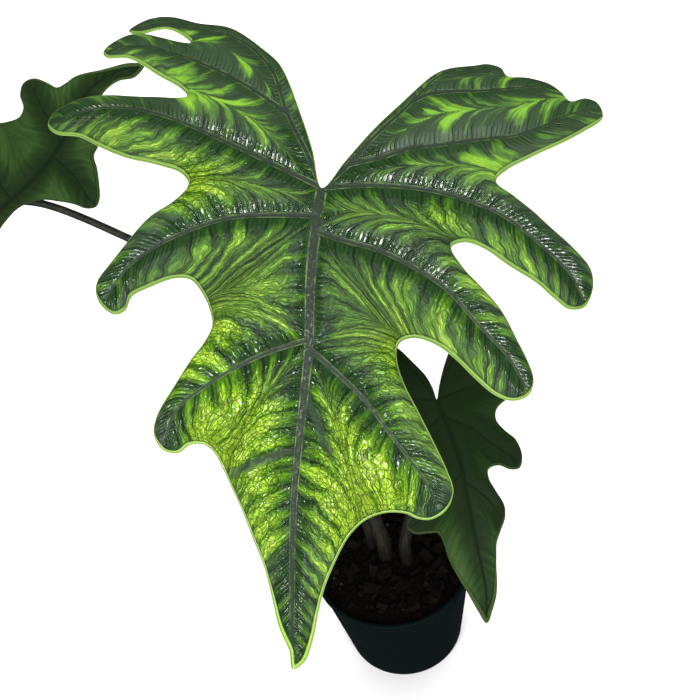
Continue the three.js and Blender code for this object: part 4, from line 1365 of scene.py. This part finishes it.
def soil_height(pot, r, angle):
    """The height of the soil's top, in millimetres, at a radius in millimetres."""
    lump = math.sin(r * 0.31 + 2 * math.sin(angle * 3)) + math.sin(r * 0.17 + angle * 5)
    rise = SOIL_MOUND * (1 - (r / (pot.top_radius / MM)) ** 2)
    return pot.height / MM - SOIL_DEPTH + rise + SOIL_LUMP * lump


def soil_mesh(pot):
    """The bark mix: a plug that fills the pot, with a lumpy, mounded top."""
    floor = pot.floor / MM + GAP
    rim = pot.height / MM - SOIL_DEPTH
    top_radius = wall_radius(pot, rim * MM) / MM - pot.wall / MM - GAP
    floor_radius = wall_radius(pot, floor * MM) / MM - pot.wall / MM - GAP
    profile = [(0, floor), (floor_radius, floor)]
    profile += [(top_radius * k / SOIL_RINGS, rim) for k in range(SOIL_RINGS, 0, -1)] + [(0, rim)]
    mesh = turned_mesh("soil", profile, pot.sides)
    for vertex in mesh.vertices:
        x, y, z = vertex.co
        r = math.hypot(x, y)
        if z > rim - LEVEL_TOLERANCE and r < top_radius - SOIL_EDGE:
            grain = noise.fractal(Vector((x, y, 0)) * GRAIN_SCALE, 1.0, 2.0, 4) * SOIL_GRAIN
            vertex.co.z = soil_height(pot, r, math.atan2(y, x) if r > 0 else 0) + grain
    mesh.transform(Matrix.Scale(MM, 4))
    mesh.polygons.foreach_set("use_smooth", np.ones(len(mesh.polygons), bool))
    return mesh


def chip_points(pot, soil):
    """Places, turns and sizes of the large bark chips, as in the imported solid."""
    rim = pot.height - SOIL_DEPTH * MM
    length = soil.chip / MM
    room = (wall_radius(pot, rim) - pot.wall) / MM - GAP - length * CHIP_ROOM_SHARE
    places, turns, sizes = [], [], []
    for i in range(CHIP_COUNT):
        reach = math.sqrt(draw(i, 3)) * room
        angle = i * GOLDEN_ANGLE
        long = length * (LEAST_CHIP + (1 - LEAST_CHIP) * draw(i, 4))
        height = soil_height(pot, reach, angle) + long * CHIP_LIFT_SHARE
        places.append((math.cos(angle) * reach * MM, math.sin(angle) * reach * MM, height * MM))
        turns.append(((draw(i, 5) - 0.5) * CHIP_TILT, (draw(i, 6) - 0.5) * CHIP_TILT, draw(i, 7) * math.pi))
        sizes.append(long * MM)
    return points_mesh("chips", places, turn=turns, size=sizes)


def broken(growth, geometry, roughness, frequency):
    """Instances made real, each with its own uneven surface."""
    geometry = growth.real(geometry)
    inputs = {"Vector": growth.position(), "Scale": frequency, "Detail": 2.0}
    uneven = growth.node("ShaderNodeTexNoise", inputs, "Color")
    uneven = growth.scaled(growth.vector("SUBTRACT", uneven, (0.5, 0.5, 0.5)), roughness)
    return growth.moved(geometry, uneven)


def chip_block(growth):
    """A chip one unit long, with points enough to break it up."""
    inputs = {"Size": (1, CHIP_WIDTH_SHARE, CHIP_THICKNESS_SHARE)}
    inputs.update({"Vertices X": 6, "Vertices Y": 4, "Vertices Z": 3})
    return growth.node("GeometryNodeMeshCube", inputs)


def bead(growth):
    """A lump one unit across."""
    return growth.node("GeometryNodeMeshIcoSphere", {"Radius": 0.5, "Subdivisions": 1})


def chips_mesh(pot, soil, material):
    """The large bark chips."""
    growth = Growth("bark_chips")
    roughness = growth.number("Roughness", soil.chip * CHIP_ROUGHNESS)
    rotation = growth.rotation(growth.named("turn", "FLOAT_VECTOR"))
    chips = growth.instances(growth.source, chip_block(growth), rotation, growth.named("size"))
    return growth.made_from(broken(growth, chips, roughness, CHIP_FACETS), material, chip_points(pot, soil))


def strewn_mesh(name, pot, ground, make_grain, grain_size, count, spread, seed, material):
    """Loose grains scattered over the top of the soil: count of them to a square centimetre."""
    growth = Growth(name)
    width = growth.number("Grain Size", grain_size)
    density = growth.number("Density", count * CM2_PER_M2)
    roughness = growth.number("Roughness", grain_size * GRAIN_ROUGHNESS)
    lowest = growth.number("Lowest Grain", (pot.height - SOIL_DEPTH * MM) - LOWEST_GRAIN * MM)
    widest = growth.number("Widest Ring", wall_radius(pot, pot.height) - pot.wall - GRAIN_ROOM * MM)
    points = growth.scattered(growth.source, density, seed)
    x, y, z = growth.split(growth.position())
    ring = growth.math("SQRT", x**2.0 + y**2.0)
    outside = growth.math("LESS_THAN", growth.math("MINIMUM", z - lowest, widest - ring), 0.0)
    points = growth.node("GeometryNodeDeleteGeometry", {"Geometry": points, "Selection": outside})
    scale = growth.random(*spread, seed + 1)
    turn = growth.random((-GRAIN_TILT, -GRAIN_TILT, 0), (GRAIN_TILT, GRAIN_TILT, FULL_TURN), seed + 2)
    grains = growth.instances(points, make_grain(growth), growth.rotation(turn), scale * width)
    grains = broken(growth, grains, roughness, GRAIN_FACETS / grain_size)
    return growth.made_from(grains, material, ground)


def earth_finish(name, dark, pale, scale, roughness):
    """Soil, bark or grit: a mottled colour that changes from grain to grain, with a rough surface."""
    f = Finish(name)
    place = f.place()
    island = f.node("ShaderNodeNewGeometry", out="Random Per Island")
    tint = f.ramp(island * 0.6 + f.noise(place, scale, 4, 0.65) * 0.7, 0.35, 1.0)
    bump = f.bump(f.noise(place, scale * 4, 4, 0.6), 0.0006, 0.9)
    return f.set(
        Base_Color=f.mix(tint, dark, pale), Roughness=roughness, Normal=bump, Specular_IOR_Level=0.08)


# The stage
CAMERA_PLACE = (0, -0.324, 0.520)
CAMERA_PITCH = 38.9
CAMERA_ROLL = -11.5
CAMERA_LENS = 41.14
FLOOR_REACH = 4
MIRRORED_DIMMING = 0.78
FRONT_LIGHT_WIDTH = 12
WIDE_LIGHT_WIDTH = 60
# Each light is so many degrees around from the front, and so many up.
FRONT_LIGHTS = {"left": (-42, 34), "front": (-18, 1), "middle": (5, 15), "right": (24, 28)}
WIDE_LIGHTS = {"overhead": (160, 72), "soft_front": (-6, 38)}


def add_camera():
    """The camera at the photograph's angle."""
    data = bpy.data.cameras.new("camera")
    data.lens = CAMERA_LENS
    camera = placed("camera", data)
    pitch = Matrix.Rotation(math.radians(90 - CAMERA_PITCH), 4, "X")
    roll = Matrix.Rotation(math.radians(CAMERA_ROLL), 4, "Z")
    camera.matrix_world = Matrix.Translation(CAMERA_PLACE) @ (pitch @ roll)
    bpy.context.scene.camera = camera


def add_light(name, around, up, spread, energy):
    """A far light: degrees around from the front, degrees up, and how many degrees wide it seems."""
    data = bpy.data.lights.new(name, "SUN")
    data.angle = math.radians(spread)
    data.energy = energy
    light = placed(name, data)
    light.rotation_euler = (math.radians(90 - up), 0, math.radians(around))
    return light


def add_world(fill):
    """A white backdrop that lights the plant more dimly than it shows, and is seldom mirrored in it."""
    world = bpy.data.worlds.new("studio")
    world.use_nodes = True
    work = NodeWork(world.node_tree)
    seen = work.node("ShaderNodeLightPath", out="Is Camera Ray")
    fill = seen.other("Is Glossy Ray") * (-MIRRORED_DIMMING * fill) + fill
    background = world.node_tree.nodes["Background"]
    background.inputs["Color"].default_value = (1, 1, 1, 1)
    work.put(background.inputs["Strength"], work.highest(seen, fill))
    bpy.context.scene.world = world


# Operators
class ALOCASIA_OT_stage(bpy.types.Operator):
    """Makes the floor, the lights and the camera"""
    bl_idname = "alocasia.stage"
    bl_label = "Stage"

    def execute(self, context):
        settings = context.scene.alocasia.stage
        add_camera()
        add_world(settings.fill)
        for name, (around, up) in FRONT_LIGHTS.items():
            add_light(name, around, up, FRONT_LIGHT_WIDTH, settings.key)
        for (name, (around, up)), energy in zip(WIDE_LIGHTS.items(), (settings.top, settings.soft)):
            add_light(name, around, up, WIDE_LIGHT_WIDTH, energy).visible_glossy = False
        context.scene.view_settings.view_transform = "Standard"
        mesh = bpy.data.meshes.new("floor")
        corners = [(x * FLOOR_REACH, y * FLOOR_REACH, 0) for x, y in ((-1, -1), (1, -1), (1, 1), (-1, 1))]
        mesh.from_pydata(corners, [], [(0, 1, 2, 3)])
        mesh.materials.append(Finish("pale_floor").set(Base_Color=settings.floor, Roughness=0.9))
        floor = placed("floor", mesh)
        floor.visible_glossy = False
        return {"FINISHED"}


class ALOCASIA_OT_pot(bpy.types.Operator):
    """Makes the nursery pot"""
    bl_idname = "alocasia.pot"
    bl_label = "Pot"

    def execute(self, context):
        add_piece(pot_mesh(context.scene.alocasia.pot), "pot_shell", "pot", "pot")
        return {"FINISHED"}


class ALOCASIA_OT_soil(bpy.types.Operator):
    """Makes the bark mix with its chips, crumbs and grit"""
    bl_idname = "alocasia.soil"
    bl_label = "Soil"

    def execute(self, context):
        pot = context.scene.alocasia.pot
        soil = context.scene.alocasia.soil
        peat = earth_finish("damp_peat", soil.dark, soil.bark, 300.0, 0.9)
        bark = earth_finish("bark", soil.bark, soil.bark_pale, 260.0, 0.8)
        grit = earth_finish("grit", soil.bark_pale, soil.grit, 500.0, 0.7)
        few = soil.crumb_count * SMALL_CHIP_SHARE
        body = soil_mesh(pot)
        strewn = {"bark_chips": chips_mesh(pot, soil, bark)}
        for name, grain, width, density, spread, seed, finish in (
            ("soil_crumbs", bead, soil.crumb, soil.crumb_count, (0.4, 1.6), 2, peat),
            ("small_bark_chips", chip_block, soil.chip, few, (0.18, 0.45), 12, bark),
            ("pale_grit", bead, soil.crumb, PALE_GRIT_COUNT, (1.0, 2.0), 22, grit),
        ):
            strewn[name] = strewn_mesh(name, pot, body.copy(), grain, width, density, spread, seed, finish)
        body.materials.append(peat)
        add_piece(body, "soil_plug", "soil", "soil")
        for name, mesh in strewn.items():
            add_piece(mesh, name, "soil")
        return {"FINISHED"}


class ALOCASIA_OT_petioles(bpy.types.Operator):
    """Makes the three petioles"""
    bl_idname = "alocasia.petioles"
    bl_label = "Petioles"

    def execute(self, context):
        settings = context.scene.alocasia.stalks
        finish = petiole_finish(settings)
        for side in LEAVES:
            mesh = petiole_mesh(side, settings, finish)
            add_piece(mesh, f"{side}_leaf_petiole", "petiole", f"{side}_petiole")
        return {"FINISHED"}


class ALOCASIA_OT_blades(bpy.types.Operator):
    """Makes the three leaf blades, with fine hairs along their edges"""
    bl_idname = "alocasia.blades"
    bl_label = "Leaf blades"

    def execute(self, context):
        blades = context.scene.alocasia.blades
        stalks = context.scene.alocasia.stalks
        finishes = {}
        for slot, prefix, pattern, gloss, shine in (
            ("lime_blade", "", 1.0, blades.gloss, LIME_SHINE),
            ("dark_blade", "shade_", blades.small_pattern, blades.small_gloss, DARK_SHINE),
        ):
            colours = [getattr(blades, prefix + key) for key in LEAF_COLOURS]
            under = [getattr(blades, prefix + key) for key in UNDERSIDE_COLOURS]
            upper = leaf_finish(f"{slot}_upper", colours, pattern, blades.cell, gloss, shine)
            finishes[slot] = (upper, underside_finish(f"{slot}_under", *under))
        for side, slot in (("main", "lime_blade"), ("right", "dark_blade"), ("left", "dark_blade")):
            mesh = blade_mesh(side, blades)
            for finish in finishes[slot]:
                mesh.materials.append(finish)
            add_piece(mesh, f"{side}_leaf_blade", slot, f"{side}_blade")
            hair = Finish(f"{side}_fringe_hair").set(Base_Color=blades.margin, Roughness=0.6)
            add_piece(fringe_mesh(side, stalks, hair), f"{side}_leaf_fringe", slot)
        return {"FINISHED"}


class ALOCASIA_PT_panel(bpy.types.Panel):
    """Lists the pieces of the plant and their sizes and colours"""
    bl_idname = "ALOCASIA_PT_panel"
    bl_label = "Potted Alocasia"
    bl_space_type = "VIEW_3D"
    bl_region_type = "UI"
    bl_category = "Alocasia"

    def draw(self, context):
        settings = context.scene.alocasia
        for name, operator in PIECES:
            group = getattr(settings, name)
            box = self.layout.box()
            box.operator(operator)
            for key in group.bl_rna.properties.keys():
                if key not in {"rna_type", "name"}:
                    box.prop(group, key)


PIECES = (
    ("stage", "alocasia.stage"), ("pot", "alocasia.pot"), ("soil", "alocasia.soil"),
    ("stalks", "alocasia.petioles"), ("blades", "alocasia.blades"),
)
CLASSES = (
    AlocasiaBlades, AlocasiaStalks, AlocasiaPot, AlocasiaSoil, AlocasiaStage, AlocasiaSettings,
    ALOCASIA_OT_stage, ALOCASIA_OT_pot, ALOCASIA_OT_soil, ALOCASIA_OT_petioles, ALOCASIA_OT_blades,
    ALOCASIA_PT_panel,
)


def register():
    for kind in CLASSES:
        bpy.utils.register_class(kind)
    bpy.types.Scene.alocasia = PointerProperty(type=AlocasiaSettings)


def unregister():
    del bpy.types.Scene.alocasia
    for kind in reversed(CLASSES):
        bpy.utils.unregister_class(kind)


def main():
    """Makes every piece."""
    register()
    bpy.ops.alocasia.stage()
    bpy.ops.alocasia.pot()
    bpy.ops.alocasia.soil()
    bpy.ops.alocasia.petioles()
    bpy.ops.alocasia.blades()


if __name__ == "__main__":
    main()
